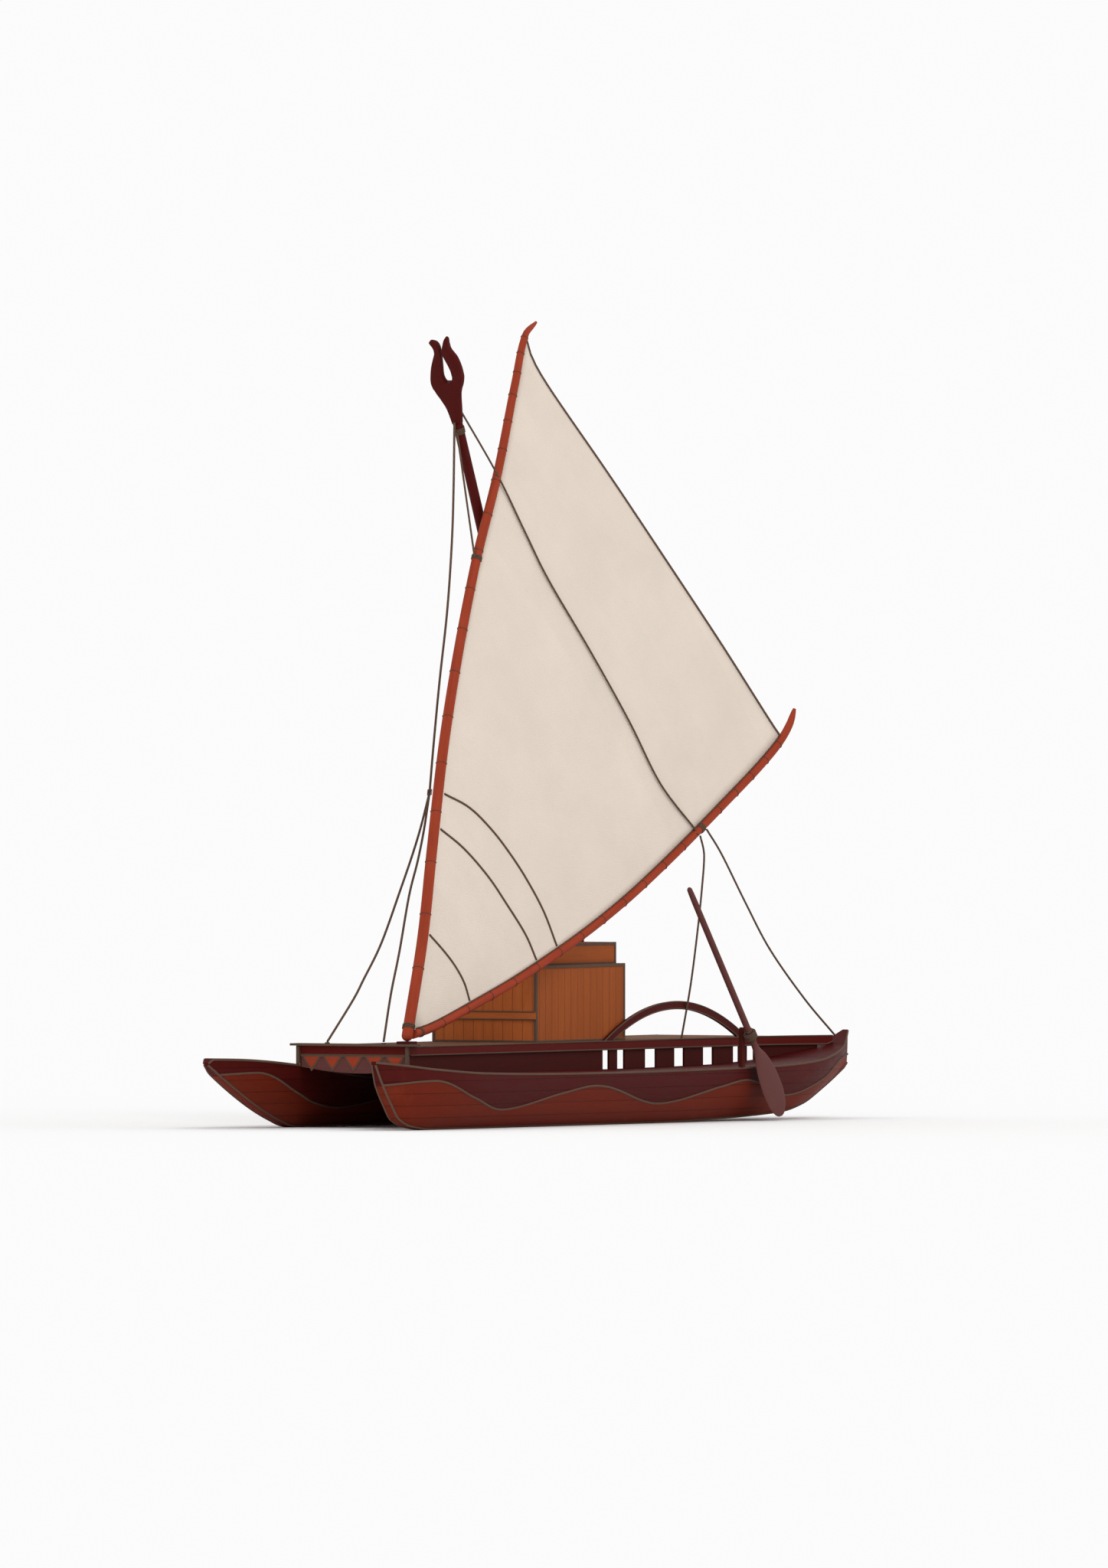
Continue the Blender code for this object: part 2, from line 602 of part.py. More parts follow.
def make_rig():
    """Yard, boom and sail, which turn together about the tack."""
    yard, yard_radii = yard_points()
    boom, boom_radii = boom_points()
    to_boom = [across(b - y, along) for y, b, along in zip(yard, boom, tangents(yard))]
    to_yard = [across(y - b, along) for y, b, along in zip(yard, boom, tangents(boom))]
    make_yard(yard, yard_radii, to_boom)
    make_boom(boom, boom_radii, to_yard, yard)
    make_sail(yard, yard_radii, to_boom, boom, boom_radii, to_yard)


def make_yard(yard, radii, to_boom):
    """The yard, with a ball at its foot that turns on the tack block."""
    along = (yard[1] - yard[0]).normalized()
    rings = tube(yard, radii, to_boom, SPAR_SIDES)
    ball = []
    for i in range(8):
        angle = math.radians(10 * (i + 1))
        centre = yard[0] - along * math.cos(angle) * YARD_FOOT_RADIUS
        spokes = [(point - yard[0]) * math.sin(angle) for point in rings[0]]
        ball.append([centre + spoke for spoke in spokes])
    make("yard", loft(ball + rings), SPAR_RED, TACK)


def make_boom(boom, radii, to_yard, yard):
    """The boom, whose foot butts against the yard's side just above the tack."""
    yard_along = (yard[1] - yard[0]).normalized()
    along = (boom[1] - boom[0]).normalized()
    normal = across(along, yard_along)
    reach = (YARD_FOOT_RADIUS + SAIL_GAP - (boom[0] - yard[0]).dot(normal)) / along.dot(normal)
    boom = [boom[0] + along * reach, *boom[1:]]
    rings = tube(boom, radii, to_yard, SPAR_SIDES, first_normal=normal)
    make("boom", loft(rings), SPAR_RED, TACK)


def make_sail(yard, yard_radii, to_boom, boom, boom_radii, to_yard):
    """A thin sheet between the two spars, from the tack lacing to the leech."""
    first = []
    second = []
    for i in range(1, SAIL_LAST_STEP + 2):
        top = yard[i] + to_boom[i] * (yard_radii[i] + SAIL_GAP)
        bottom = boom[i] + to_yard[i] * (boom_radii[i] + SAIL_GAP)
        normal = to_boom[i].cross((yard[i + 1] - yard[i - 1]).normalized()) * SAIL_THICKNESS / 2
        strip = [top.lerp(bottom, k / SAIL_STRIPS) for k in range(SAIL_STRIPS + 1)]
        first.append([point + normal for point in strip])
        second.append([point - normal for point in strip])
    rings = [one + other[::-1] for one, other in zip(first, second)]
    make("sail", loft(rings), SAIL_CREAM, TACK)


def make_stays():
    """The forestay from below the mast head, and the bridle that spreads it over the platform's front."""
    down = (MAST_FOOT - MAST_HEAD).normalized()
    ahead = across(Vector((-1.0, 0.0, 0.0)), down)
    head = MAST_HEAD + down * STAY_HEAD_DROP
    start = head + ahead * (mast_radius(head) + 2 * SEAT)
    end = BRIDLE_APEX + (start - BRIDLE_APEX).normalized() * (ROPE_RADIUS + SEAT)
    port = Vector((0.0, -1.0, 0.0))
    rings = tube([start, start.lerp(end, 0.5), end], [ROPE_RADIUS] * 3, [port] * 3, 8, first_normal=ahead)
    make("forestay", loft(rings), TAUPE)
    foot = Vector((BRIDLE_FOOT_X, BRIDLE_FOOT_Y, CAP_TOP + SEAT))
    level = Vector((0.0, 0.0, 1.0))
    sag = Vector((-0.10, 0.0, -0.16))
    leg = [foot.lerp(BRIDLE_APEX, t) + sag * math.sin(math.pi * t) for t in (0.0, 0.2, 0.4, 0.6, 0.8)]
    mirrored = [Vector((point.x, -point.y, point.z)) for point in reversed(leg)]
    points = [*leg, BRIDLE_APEX, *mirrored]
    ahead = Vector((-1.0, 0.0, 0.0))
    rings = tube(points, [ROPE_RADIUS] * len(points), [ahead] * len(points), 8, level, level)
    make("bridle", loft(rings), TAUPE)


def oar_frame():
    """Turns the oar's own axes, with its length along -Z, to its lean at the pivot."""
    return Matrix.Translation(OAR_PIVOT) @ Matrix.Rotation(-OAR_LEAN, 4, "Y")


def circle(radius, z, sides):
    """A level ring of points round the Z axis."""
    turns = [2 * math.pi * k / sides for k in range(sides)]
    return [Vector((radius * math.cos(a), radius * math.sin(a), z)) for a in turns]


def make_oar():
    """The steering oar, the collar it turns in, and the post that carries the collar."""
    frame = oar_frame()
    rings = []
    for down, half_width, half_thickness in OAR_STATIONS:
        turns = [2 * math.pi * k / OAR_SIDES for k in range(OAR_SIDES)]
        rings.append([frame @ Vector((half_width * math.cos(a), half_thickness * math.sin(a), -down))
                      for a in turns])
    make("steering_oar", loft(rings), PLUM, OAR_PIVOT)
    make_collar(frame)
    y_low, y_high = OAR_POST_Y
    board("oar_post", MAIN.deck_run(*OAR_POST_X), OAR_POST_TOP, y_low, y_high, DARK_BOARD)


def make_collar(frame):
    """A square block with a round bore along the oar."""
    def square(z):
        turns = [2 * math.pi * k / OAR_SIDES for k in range(OAR_SIDES)]
        reach = [COLLAR_HALF / max(abs(math.cos(a)), abs(math.sin(a))) for a in turns]
        return [Vector((r * math.cos(a), r * math.sin(a), z)) for r, a in zip(reach, turns)]

    length = COLLAR_HALF_LENGTH
    rings = [square(-length), square(length), circle(COLLAR_BORE, length, OAR_SIDES),
             circle(COLLAR_BORE, -length, OAR_SIDES)]
    rings = [[frame @ point for point in ring] for ring in rings]
    make("oar_collar", loft(rings, capped=False), DARK_BOARD, OAR_PIVOT)


def make_tack_block():
    """The chock on the front cap that the yard's foot turns on."""
    block = box((TACK.x - 0.17, TACK.y - 0.17, CAP_TOP + SEAT),
                (TACK.x + 0.13, TACK.y + 0.17, TACK_BLOCK_TOP))
    make("tack_block", block, DARK_BOARD)


def main():
    for old in list(bpy.data.objects):
        bpy.data.objects.remove(old)
    for hull in (MAIN, OUTRIGGER):
        hull.make_bottom()
        hull.make_topside()
    make_side_boards()
    make_beams_and_deck()
    make_fascias()
    make_stern_wing()
    make_front()
    make_house()
    make_hoop()
    make_mast()
    make_tack_block()
    make_rig()
    make_stays()
    make_oar()


main()
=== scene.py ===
"""Looks of a double-hulled sailing canoe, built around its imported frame.

Sizes are in metres. The bow points towards -X, port towards -Y and +Z is up. Sizes given from the
mid-plane are measured from the plane midway between the two hulls, as the canoe's own drawing is.
"""

import logging
import math
from bisect import bisect_right
from dataclasses import dataclass, field, replace
from enum import Enum

import bmesh
import bpy
import numpy as np
from mathutils import Matrix, Vector
from mathutils.bvhtree import BVHTree


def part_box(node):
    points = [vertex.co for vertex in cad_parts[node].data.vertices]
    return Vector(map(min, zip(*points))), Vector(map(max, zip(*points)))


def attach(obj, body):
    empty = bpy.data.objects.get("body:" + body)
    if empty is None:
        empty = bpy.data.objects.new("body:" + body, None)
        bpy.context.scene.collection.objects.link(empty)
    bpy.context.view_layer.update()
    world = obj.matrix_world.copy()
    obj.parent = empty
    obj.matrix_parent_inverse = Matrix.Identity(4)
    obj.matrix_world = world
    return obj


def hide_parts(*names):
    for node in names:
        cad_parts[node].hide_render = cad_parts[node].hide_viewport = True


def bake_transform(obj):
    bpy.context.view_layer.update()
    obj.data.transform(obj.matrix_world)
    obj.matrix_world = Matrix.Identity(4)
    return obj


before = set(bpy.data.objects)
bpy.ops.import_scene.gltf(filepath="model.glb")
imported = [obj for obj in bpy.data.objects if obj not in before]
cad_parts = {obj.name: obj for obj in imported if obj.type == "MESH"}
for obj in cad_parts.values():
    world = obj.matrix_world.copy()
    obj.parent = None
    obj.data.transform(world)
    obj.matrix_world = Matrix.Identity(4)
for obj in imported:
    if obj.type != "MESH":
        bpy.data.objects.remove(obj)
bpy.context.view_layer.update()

LOG = logging.getLogger("canoe")

Colour = tuple[int, int, int]
Curve = tuple[tuple[float, float], ...]
Edges = tuple[tuple[float, float, float], ...]
Run = list[Vector]
Socket = bpy.types.NodeSocket

UP = Vector((0.0, 0.0, 1.0))
AFT = Vector((1.0, 0.0, 0.0))
STARBOARD = Vector((0.0, 1.0, 0.0))
MID_Y = sum(corner.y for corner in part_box("deck_planking")) / 2
SHARP_ANGLE = math.radians(35)
BEVEL_ANGLE = math.radians(40)
WELD_REACH = 0.0001
SKIN_GAP = 0.0005
LASHING_STEPS = 18
LASHING_PITCH = 2.1  # rope radii between one turn and the next
LASHING_SEAT = 0.6  # rope radii between the spar's skin and the rope's middle
BEAD_RADIUS = 0.016
BEAD_INSET = 0.012
BEAD_SIDES = 8


# Small geometry


def mid(x: float, y: float, z: float) -> Vector:
    """A point given from the mid-plane between the hulls."""
    return Vector((x, y + MID_Y, z))


def smooth(points: Curve, x: float) -> float:
    """Read a smooth line that never overshoots its points.

    Args:
        points: pairs of place and value, in rising order of place.
        x: where to read the line.

    Returns:
        The value at x.
    """
    xs, ys = zip(*points)
    steps = [b - a for a, b in zip(xs, xs[1:])]
    slopes = [(b - a) / step for a, b, step in zip(ys, ys[1:], steps)]
    tangents = [slopes[0]]
    for before, after in zip(slopes, slopes[1:]):
        flat = before * after <= 0
        tangents.append(0.0 if flat else 2 * before * after / (before + after))
    tangents.append(slopes[-1])
    i = min(max(bisect_right(xs, x) - 1, 0), len(steps) - 1)
    t = min(max((x - xs[i]) / steps[i], 0.0), 1.0)
    rise = ys[i + 1] - ys[i]
    start, end = tangents[i] * steps[i], tangents[i + 1] * steps[i]
    return ys[i] + t * (start + t * (3 * rise - 2 * start - end + t * (start + end - 2 * rise)))


def flowing(points: Run, steps: int) -> Run:
    """Thread a smooth curve through given points, cutting each span into steps."""
    padded = [points[0] * 2 - points[1], *points, points[-1] * 2 - points[-2]]
    run = []
    for a, b, c, d in zip(padded, padded[1:], padded[2:], padded[3:]):
        for k in range(steps):
            t = k / steps
            run.append(0.5 * ((2 * b) + (c - a) * t + (2 * a - 5 * b + 4 * c - d) * t * t
                              + (3 * b - a - 3 * c + d) * t ** 3))
    return [*run, points[-1].copy()]


def shares(steps: int) -> list[float]:
    """Even steps from 0 to 1."""
    return [i / steps for i in range(steps + 1)]


def circle(count: int, offset: float = 0.0) -> list[float]:
    """Angles spread evenly round a circle, the first one offset by a share of a step."""
    return [2 * math.pi * (k + offset) / count for k in range(count)]


def rounded_square(count: int, power: float) -> list[tuple[float, float]]:
    """Points round a square of half-width 1, the rounder the lower the power."""
    points = []
    for angle in circle(count, 0.5):
        wide, deep = math.cos(angle), math.sin(angle)
        grow = 1 / max(abs(wide), abs(deep)) ** power
        points.append((wide * grow, deep * grow))
    return points


def headings(points: Run) -> Run:
    """Direction of a run of points at each of them."""
    last = len(points) - 1
    return [(points[min(i + 1, last)] - points[max(i - 1, 0)]).normalized() for i in range(last + 1)]


def across(direction: Vector, along: Vector) -> Vector:
    """The part of one direction that is square to another."""
    return (direction - along * direction.dot(along)).normalized()


def tube_rings(points: Run, radii: list[float], sides: int, facing: Vector) -> list[Run]:
    """Round rings along a run of points, without twist.

    Args:
        points: the middle line.
        radii: the radius at each point.
        sides: corners of each ring.
        facing: where the first ring's first corner points, roughly.

    Returns:
        One ring of points for each point of the run.
    """
    rings = []
    out = facing
    for point, radius, along in zip(points, radii, headings(points)):
        out = across(out, along)
        side = along.cross(out)
        rings.append([point + (out * math.cos(a) + side * math.sin(a)) * radius for a in circle(sides)])
    return rings


@dataclass(frozen=True)
class Drawing:
    """Where points of the flat drawing lie, with the drawing taken as 1447 by 2048 pixels."""

    pixel: float = 0.016234  # metres
    middle: float = 686.6  # pixels from the left, where the mid-plane's origin shows
    ground: float = 1467.4  # pixels from the top, where the ground under that origin shows
    azimuth: float = math.radians(-60)
    elevation: float = math.radians(1.0)

    def back(self) -> Vector:
        """Direction from the canoe to the viewer."""
        level = math.cos(self.elevation)
        return Vector((math.sin(self.azimuth) * level, -math.cos(self.azimuth) * level,
                       math.sin(self.elevation)))

    def axes(self) -> tuple[Vector, Vector]:
        """Directions to the drawing's right and up it."""
        right = Vector((math.cos(self.azimuth), math.sin(self.azimuth), 0.0))
        return right, self.back().cross(right)

    def plane_point(self, u: float, v: float) -> Vector:
        """A pixel's point on the plane that faces the viewer through the origin."""
        right, up = self.axes()
        return mid(0.0, 0.0, 0.0) + right * ((u - self.middle) * self.pixel) + up * (
            (self.ground - v) * self.pixel)

    def shown(self, point: Vector) -> Vector:
        """The pixel at which a point shows."""
        right, up = self.axes()
        offset = point - mid(0.0, 0.0, 0.0)
        return Vector((self.middle + offset.dot(right) / self.pixel,
                       self.ground - offset.dot(up) / self.pixel))

    def nearest(self, run: Run, u: float, v: float) -> int:
        """Which point of a run shows nearest to a pixel."""
        return min(range(len(run)), key=lambda i: (self.shown(run[i]) - Vector((u, v))).length)

    def at(self, u: float, v: float, y: float) -> Vector:
        """A pixel's point at a distance y from the mid-plane."""
        start, back = self.plane_point(u, v), self.back()
        return start + back * ((y + MID_Y - start.y) / back.y)

    def route(self, pixels: Curve, start_y: float, end_y: float) -> Run:
        """Points along a route of pixels, going evenly from one distance off the mid-plane to another."""
        first, last = pixels[0][1], pixels[-1][1]
        return [self.at(u, v, start_y + (end_y - start_y) * (v - first) / (last - first))
                for u, v in pixels]


DRAWING = Drawing()


class Skin:
    """Faces gathered from several closed shapes, to become one piece."""

    def __init__(self) -> None:
        """Start with no faces."""
        self.points: list[Vector] = []
        self.faces: list[tuple[int, ...]] = []
        self.corners: list[tuple[float, float]] = []

    def loft(self, rings: list[Run]) -> "Skin":
        """Skin a row of rings with equal counts of points, with lengths in metres as texture places."""
        count = len(rings[0])
        base = len(self.points)
        self.points += [point for ring in rings for point in ring]
        widest = max(rings, key=lambda ring: (ring[0] - ring[count // 2]).length)
        around = [0.0]
        for k in range(count):
            around.append(around[-1] + (widest[(k + 1) % count] - widest[k]).length)
        travel = 0.0
        for i, (near, far) in enumerate(zip(rings, rings[1:])):
            step = (sum(far, Vector()) / count - sum(near, Vector()) / count).length
            row = base + i * count
            for k in range(count):
                n = (k + 1) % count
                self.faces.append((row + k, row + n, row + count + n, row + count + k))
                self.corners += [(travel, around[k]), (travel, around[k + 1]),
                                 (travel + step, around[k + 1]), (travel + step, around[k])]
            travel += step
        end = base + (len(rings) - 1) * count
        self.faces.append(tuple(range(base, base + count)))
        self.faces.append(tuple(reversed(range(end, end + count))))
        self.corners += [(0.0, v) for v in around[:count]]
        self.corners += [(travel, v) for v in reversed(around[:count])]
        return self

    def bar(self, low: tuple, high: tuple) -> "Skin":
        """Add a block between its lowest and highest corners."""
        x, y, z = low
        far_x, far_y, top = high
        return self.loft([[Vector((x, y, level)), Vector((far_x, y, level)), Vector((far_x, far_y, level)),
                           Vector((x, far_y, level))] for level in (z, top)])

    def tube(self, points: Run, radius: float | list[float], sides: int = 10,
             facing: Vector = UP) -> "Skin":
        """Add a round tube along a run of points."""
        radii = radius if isinstance(radius, list) else [radius] * len(points)
        return self.loft(tube_rings(points, radii, sides, facing))

    def lashing(self, centre: Vector, along: Vector, radius: float, rope: float, turns: int) -> "Skin":
        """Add a tight helix of rope round a spar.

        Args:
            centre: middle of the lashing, on the spar's own middle line.
            along: the spar's direction.
            radius: the spar's radius.
            rope: the rope's radius.
            turns: how many turns lie side by side.

        Returns:
            This skin.
        """
        axis = along.normalized()
        out = across(UP if abs(axis.z) < 0.9 else AFT, axis)
        side = axis.cross(out)
        steps, pitch, reach = LASHING_STEPS, LASHING_PITCH * rope, radius + LASHING_SEAT * rope
        run = []
        for k in range(steps * turns + 1):
            angle = 2 * math.pi * k / steps
            run.append(centre + axis * (pitch * (k / steps - turns / 2))
                       + (out * math.cos(angle) + side * math.sin(angle)) * reach)
        return self.tube(run, rope, 6, axis)

    def build(self, name: str) -> bpy.types.Object:
        """Make the piece's object, with its faces turned outward."""
        mesh = bpy.data.meshes.new(name)
        mesh.from_pydata(self.points, [], self.faces)
        mesh.uv_layers.new(name="lengths").data.foreach_set("uv", np.array(self.corners, np.float32).ravel())
        shape = bmesh.new()
        shape.from_mesh(mesh)
        bmesh.ops.recalc_face_normals(shape, faces=shape.faces)
        shape.to_mesh(mesh)
        shape.free()
        mesh.shade_smooth()
        mesh.set_sharp_from_angle(angle=SHARP_ANGLE)
        piece = bpy.data.objects.new(name, mesh)
        bpy.context.scene.collection.objects.link(piece)
        return piece


# Finishes


class Graph:
    """Adds nodes to one tree and joins them."""

    def __init__(self, tree: bpy.types.NodeTree) -> None:
        """Work on the given tree."""
        self.tree = tree

    def link(self, value: Socket, target: Socket) -> None:
        """Join a result to an input."""
        self.tree.links.new(value, target)

    def add(self, kind: str, inputs: dict | None = None, **settings: object) -> bpy.types.Node:
        """Add one node.

        Args:
            kind: the node's type.
            inputs: values or sockets for its inputs, by name or number.
            settings: properties of the node.

        Returns:
            The new node.
        """
        node = self.tree.nodes.new(kind)
        for key, value in settings.items():
            setattr(node, key, value)
        for key, value in (inputs or {}).items():
            if isinstance(value, Socket):
                self.link(value, node.inputs[key])
            else:
                node.inputs[key].default_value = value
        return node

    def math(self, operation: str, *values: object) -> Socket:
        """Add a Math node and return its result."""
        return self.add("ShaderNodeMath", dict(enumerate(values)), operation=operation).outputs[0]

    def mix(self, share: object, first: object, second: object) -> Socket:
        """Mix two colours and return the result."""
        return self.add("ShaderNodeMix", {0: share, 6: first, 7: second}, data_type="RGBA").outputs[2]

    def remap(self, value: object, low: float, high: float, to_low: float, to_high: float) -> Socket:
        """Remap a value from one range to another, held inside it."""
        ends = {"Value": value, "From Min": low, "From Max": high, "To Min": to_low, "To Max": to_high}
        return self.add("ShaderNodeMapRange", ends).outputs[0]

    def noise(self, place: Socket, scale: object, **more: float) -> Socket:
        """Add a noise texture and return its value."""
        return self.add("ShaderNodeTexNoise", {"Vector": place, "Scale": scale, **more}).outputs[0]

    def parts(self, place: Socket) -> bpy.types.bpy_prop_collection:
        """A place's three coordinates."""
        return self.add("ShaderNodeSeparateXYZ", {0: place}).outputs

    def lengths(self) -> Socket:
        """The place along and around a lofted piece, in metres."""
        return self.add("ShaderNodeUVMap", uv_map="lengths").outputs[0]

    def effect(self, name: str, inputs: dict) -> bpy.types.NodeOutputs:
        """Place one of the shared effects and return its results."""
        return self.add("ShaderNodeGroup", inputs, node_tree=bpy.data.node_groups[name]).outputs

    def bump(self, height: Socket, strength: float, distance: float) -> Socket:
        """Turn a height into the surface's direction."""
        ends = {"Height": height, "Strength": strength, "Distance": distance}
        return self.add("ShaderNodeBump", ends).outputs[0]


def linear(colour: Colour, gain: float = 1.0) -> tuple[float, float, float, float]:
    """A screen colour from 0 to 255 as linear light, made brighter or darker by gain."""
    parts = [channel / 255 for channel in colour]
    light = [c / 12.92 if c <= 0.04045 else ((c + 0.055) / 1.055) ** 2.4 for c in parts]
    return (*[min(c * gain, 1.0) for c in light], 1.0)


def start_effect(name: str, inputs: dict[str, str], outputs: tuple[str, ...]) -> tuple:
    """Begin one shared effect.

    Args:
        name: the effect's name.
        inputs: its inputs, as name to socket type.
        outputs: names of its outputs, which are all numbers.

    Returns:
        The graph to fill, its input sockets and its output sockets.
    """
    tree = bpy.data.node_groups.new(name, "ShaderNodeTree")
    for label, kind in inputs.items():
        tree.interface.new_socket(name=label, in_out="INPUT", socket_type=f"NodeSocket{kind}")
    for label in outputs:
        tree.interface.new_socket(name=label, in_out="OUTPUT", socket_type="NodeSocketFloat")
    graph = Graph(tree)
    return graph, graph.add("NodeGroupInput").outputs, graph.add("NodeGroupOutput").inputs


def make_timber_grain() -> None:
    """Long fibres: a broad streak and a fine one."""
    graph, given, made = start_effect("timber grain", {"Place": "Vector", "Stretch": "Vector"},
                                      ("Shade", "Height"))
    drawn = graph.add("ShaderNodeVectorMath", {0: given["Place"], 1: given["Stretch"]},
                      operation="MULTIPLY").outputs[0]
    broad = graph.noise(drawn, 0.9, Detail=5.0, Roughness=0.6, Distortion=0.3)
    fine = graph.noise(drawn, 7.0, Detail=3.0, Roughness=0.7)
    shade = graph.math("MULTIPLY_ADD", fine, 0.35, graph.math("MULTIPLY", broad, 0.65))
    graph.link(graph.remap(shade, 0.35, 0.65, 0.0, 1.0), made["Shade"])
    graph.link(graph.math("MULTIPLY_ADD", fine, 0.6, broad), made["Height"])


def make_weathering() -> None:
    """Patches where sun, spray and hands have worn the surface."""
    graph, given, made = start_effect("weathering", {"Place": "Vector", "Scale": "Float", "Cover": "Float"},
                                      ("Mask",))
    blotch = graph.noise(given["Place"], given["Scale"], Detail=9.0, Roughness=0.68)
    edge = graph.math("SUBTRACT", 0.75, graph.math("MULTIPLY", given["Cover"], 0.4))
    over = graph.math("SUBTRACT", blotch, edge)
    graph.link(graph.remap(over, -0.04, 0.14, 0.0, 1.0), made["Mask"])


def make_board_seams() -> None:
    """Boards laid side by side: a dark seam between them and a tone for each."""
    graph, given, made = start_effect("board seams", {"Across": "Float", "Width": "Float", "Seam": "Float"},
                                      ("Groove", "Tone"))
    place = graph.math("DIVIDE", given["Across"], given["Width"])
    inside = graph.math("FRACT", place)
    edge = graph.math("SUBTRACT", 0.5, graph.math("ABSOLUTE", graph.math("SUBTRACT", inside, 0.5)))
    distance = graph.math("MULTIPLY", edge, given["Width"])
    share = graph.math("DIVIDE", distance, given["Seam"])
    graph.link(graph.remap(share, 0.4, 1.0, 1.0, 0.0), made["Groove"])
    tone = graph.add("ShaderNodeTexWhiteNoise", {"W": graph.math("FLOOR", place)}, noise_dimensions="1D")
    graph.link(tone.outputs["Value"], made["Tone"])


def make_rope_lay() -> None:
    """Twisted strands that wind round a rope, with painted shade in the grooves between them."""
    graph, given, made = start_effect("rope lay", {"Place": "Vector", "Pitch": "Float", "Girth": "Float"},
                                      ("Height", "Shade"))
    parts = graph.parts(given["Place"])
    around = graph.math("MULTIPLY", graph.math("DIVIDE", parts[1], given["Girth"]), 3.0)
    turn = graph.math("ADD", graph.math("DIVIDE", parts[0], given["Pitch"]), around)
    bulge = graph.math("SINE", graph.math("MULTIPLY", graph.math("FRACT", turn), math.pi))
    graph.link(bulge, made["Height"])
    fibre = graph.noise(given["Place"], 22.0, Detail=3.0)
    # Shade is painted shade: darkest in the grooves between strands and lightest on their crowns, mixed with
    # fibre tone.
    graph.link(graph.math("MULTIPLY", bulge, graph.math("ADD", fibre, 0.45)), made["Shade"])


def make_plaiting() -> None:
    """Flat strands plaited over and under each other, in strips of mat."""
    graph, given, made = start_effect("plaiting", {"Place": "Vector", "Strand": "Float", "Strip": "Float"},
                                      ("Height", "Shade", "Tone"))
    parts = graph.parts(given["Place"])
    waves = []
    for part in (parts[0], parts[1]):
        turn = graph.math("MULTIPLY", graph.math("DIVIDE", part, given["Strand"]), math.pi)
        waves.append(graph.math("SINE", turn))
    graph.link(graph.math("MULTIPLY", *waves), made["Height"])
    blotch = graph.noise(given["Place"], 0.55, Detail=8.0, Roughness=0.62)
    graph.link(graph.remap(blotch, 0.3, 0.7, 0.0, 1.0), made["Shade"])
    strip = graph.math("FLOOR", graph.math("DIVIDE", parts[1], given["Strip"]))
    tone = graph.add("ShaderNodeTexWhiteNoise", {"W": strip}, noise_dimensions="1D")
    graph.link(tone.outputs["Value"], made["Tone"])


class Grain(Enum):
    """Which way a piece's grain runs, as the stretch of its fibres."""

    ALONG = (1.0, 14.0, 14.0)
    ATHWART = (14.0, 1.0, 14.0)
    UPRIGHT = (14.0, 14.0, 1.0)
    SPAR = (1.0, 9.0, 1.0)


class Across(Enum):
    """The coordinate that counts boards laid side by side."""

    X = 0
    Y = 1
    Z = 2


@dataclass(frozen=True)
class Boards:
    """Boards laid side by side, drawn in the surface."""

    across: Across
    width: float
    seam: float = 0.010


@dataclass(frozen=True)
class Finish:
    """A look that pieces share, made into a material once."""

    name: str
    slot: str
    colour: Colour

    def material(self) -> bpy.types.Material:
        """The finish as a material."""
        made = bpy.data.materials.get(self.name)
        if made is None:
            made = bpy.data.materials.new(self.name)
            made.use_nodes = True
            self.dress(Graph(made.node_tree), made.node_tree.nodes["Principled BSDF"].inputs)
        return made

    def shade(self, gain: float) -> tuple[float, float, float, float]:
        """The finish's colour, made brighter or darker."""
        return linear(self.colour, gain)

    def dress(self, graph: Graph, shader: bpy.types.NodeInputs) -> None:
        """Lead the finish's effects to its shader."""
        raise NotImplementedError


@dataclass(frozen=True)
class Timber(Finish):
    """Painted or oiled timber, with grain, board seams and wear."""

    worn: Colour
    grain: Grain = Grain.ALONG
    boards: Boards | None = None
    roughness: float = 0.6
    wear: float = 0.3
    contrast: float = 0.10
    gloss: float = 0.05

    def dress(self, graph: Graph, shader: bpy.types.NodeInputs) -> None:
        """Lead grain, seams and wear to the shader."""
        if self.grain is Grain.SPAR:
            place = graph.lengths()
        else:
            place = graph.add("ShaderNodeTexCoord").outputs["Object"]
        grain = graph.effect("timber grain", {"Place": place, "Stretch": self.grain.value})
        worn = graph.effect("weathering", {"Place": place, "Scale": 0.9, "Cover": self.wear})[0]
        colour = graph.mix(grain["Shade"], self.shade(1 - self.contrast), self.shade(1 + self.contrast))
        height = grain["Height"]
        if self.boards:
            counted = graph.parts(place)[self.boards.across.value]
            seams = graph.effect("board seams", {"Across": counted, "Width": self.boards.width,
                                                 "Seam": self.boards.seam})
            colour = graph.mix(graph.remap(seams["Tone"], 0.0, 1.0, 0.0, 0.22), colour, self.shade(0.6))
            colour = graph.mix(graph.math("MULTIPLY", seams["Groove"], 0.6), colour, self.shade(0.35))
            height = graph.math("SUBTRACT", height, graph.math("MULTIPLY", seams["Groove"], 2.0))
        colour = graph.mix(graph.math("MULTIPLY", worn, 0.45), colour, linear(self.worn))
        rough = graph.remap(grain["Shade"], 0.0, 1.0, self.roughness - 0.06, self.roughness + 0.08)
        graph.link(colour, shader["Base Color"])
        graph.link(rough, shader["Roughness"])
        graph.link(graph.bump(height, 0.5, 0.006), shader["Normal"])
        shader["Specular IOR Level"].default_value = self.gloss


@dataclass(frozen=True)
class Rope(Finish):
    """Laid fibre rope."""

    radius: float

    def dress(self, graph: Graph, shader: bpy.types.NodeInputs) -> None:
        """Lead the rope's lay to the shader, with its painted groove shade in the colour."""
        lay = graph.effect("rope lay", {"Place": graph.lengths(), "Pitch": self.radius * 6,
                                        "Girth": 2 * math.pi * self.radius})
        # Painted shade: darker in the grooves between strands, lighter on their crowns.
        graph.link(graph.mix(lay["Shade"], self.shade(0.7), self.shade(1.25)), shader["Base Color"])
        graph.link(graph.bump(lay["Height"], 0.8, self.radius * 0.4), shader["Normal"])
        shader["Roughness"].default_value = 0.85
        shader["Specular IOR Level"].default_value = 0.1


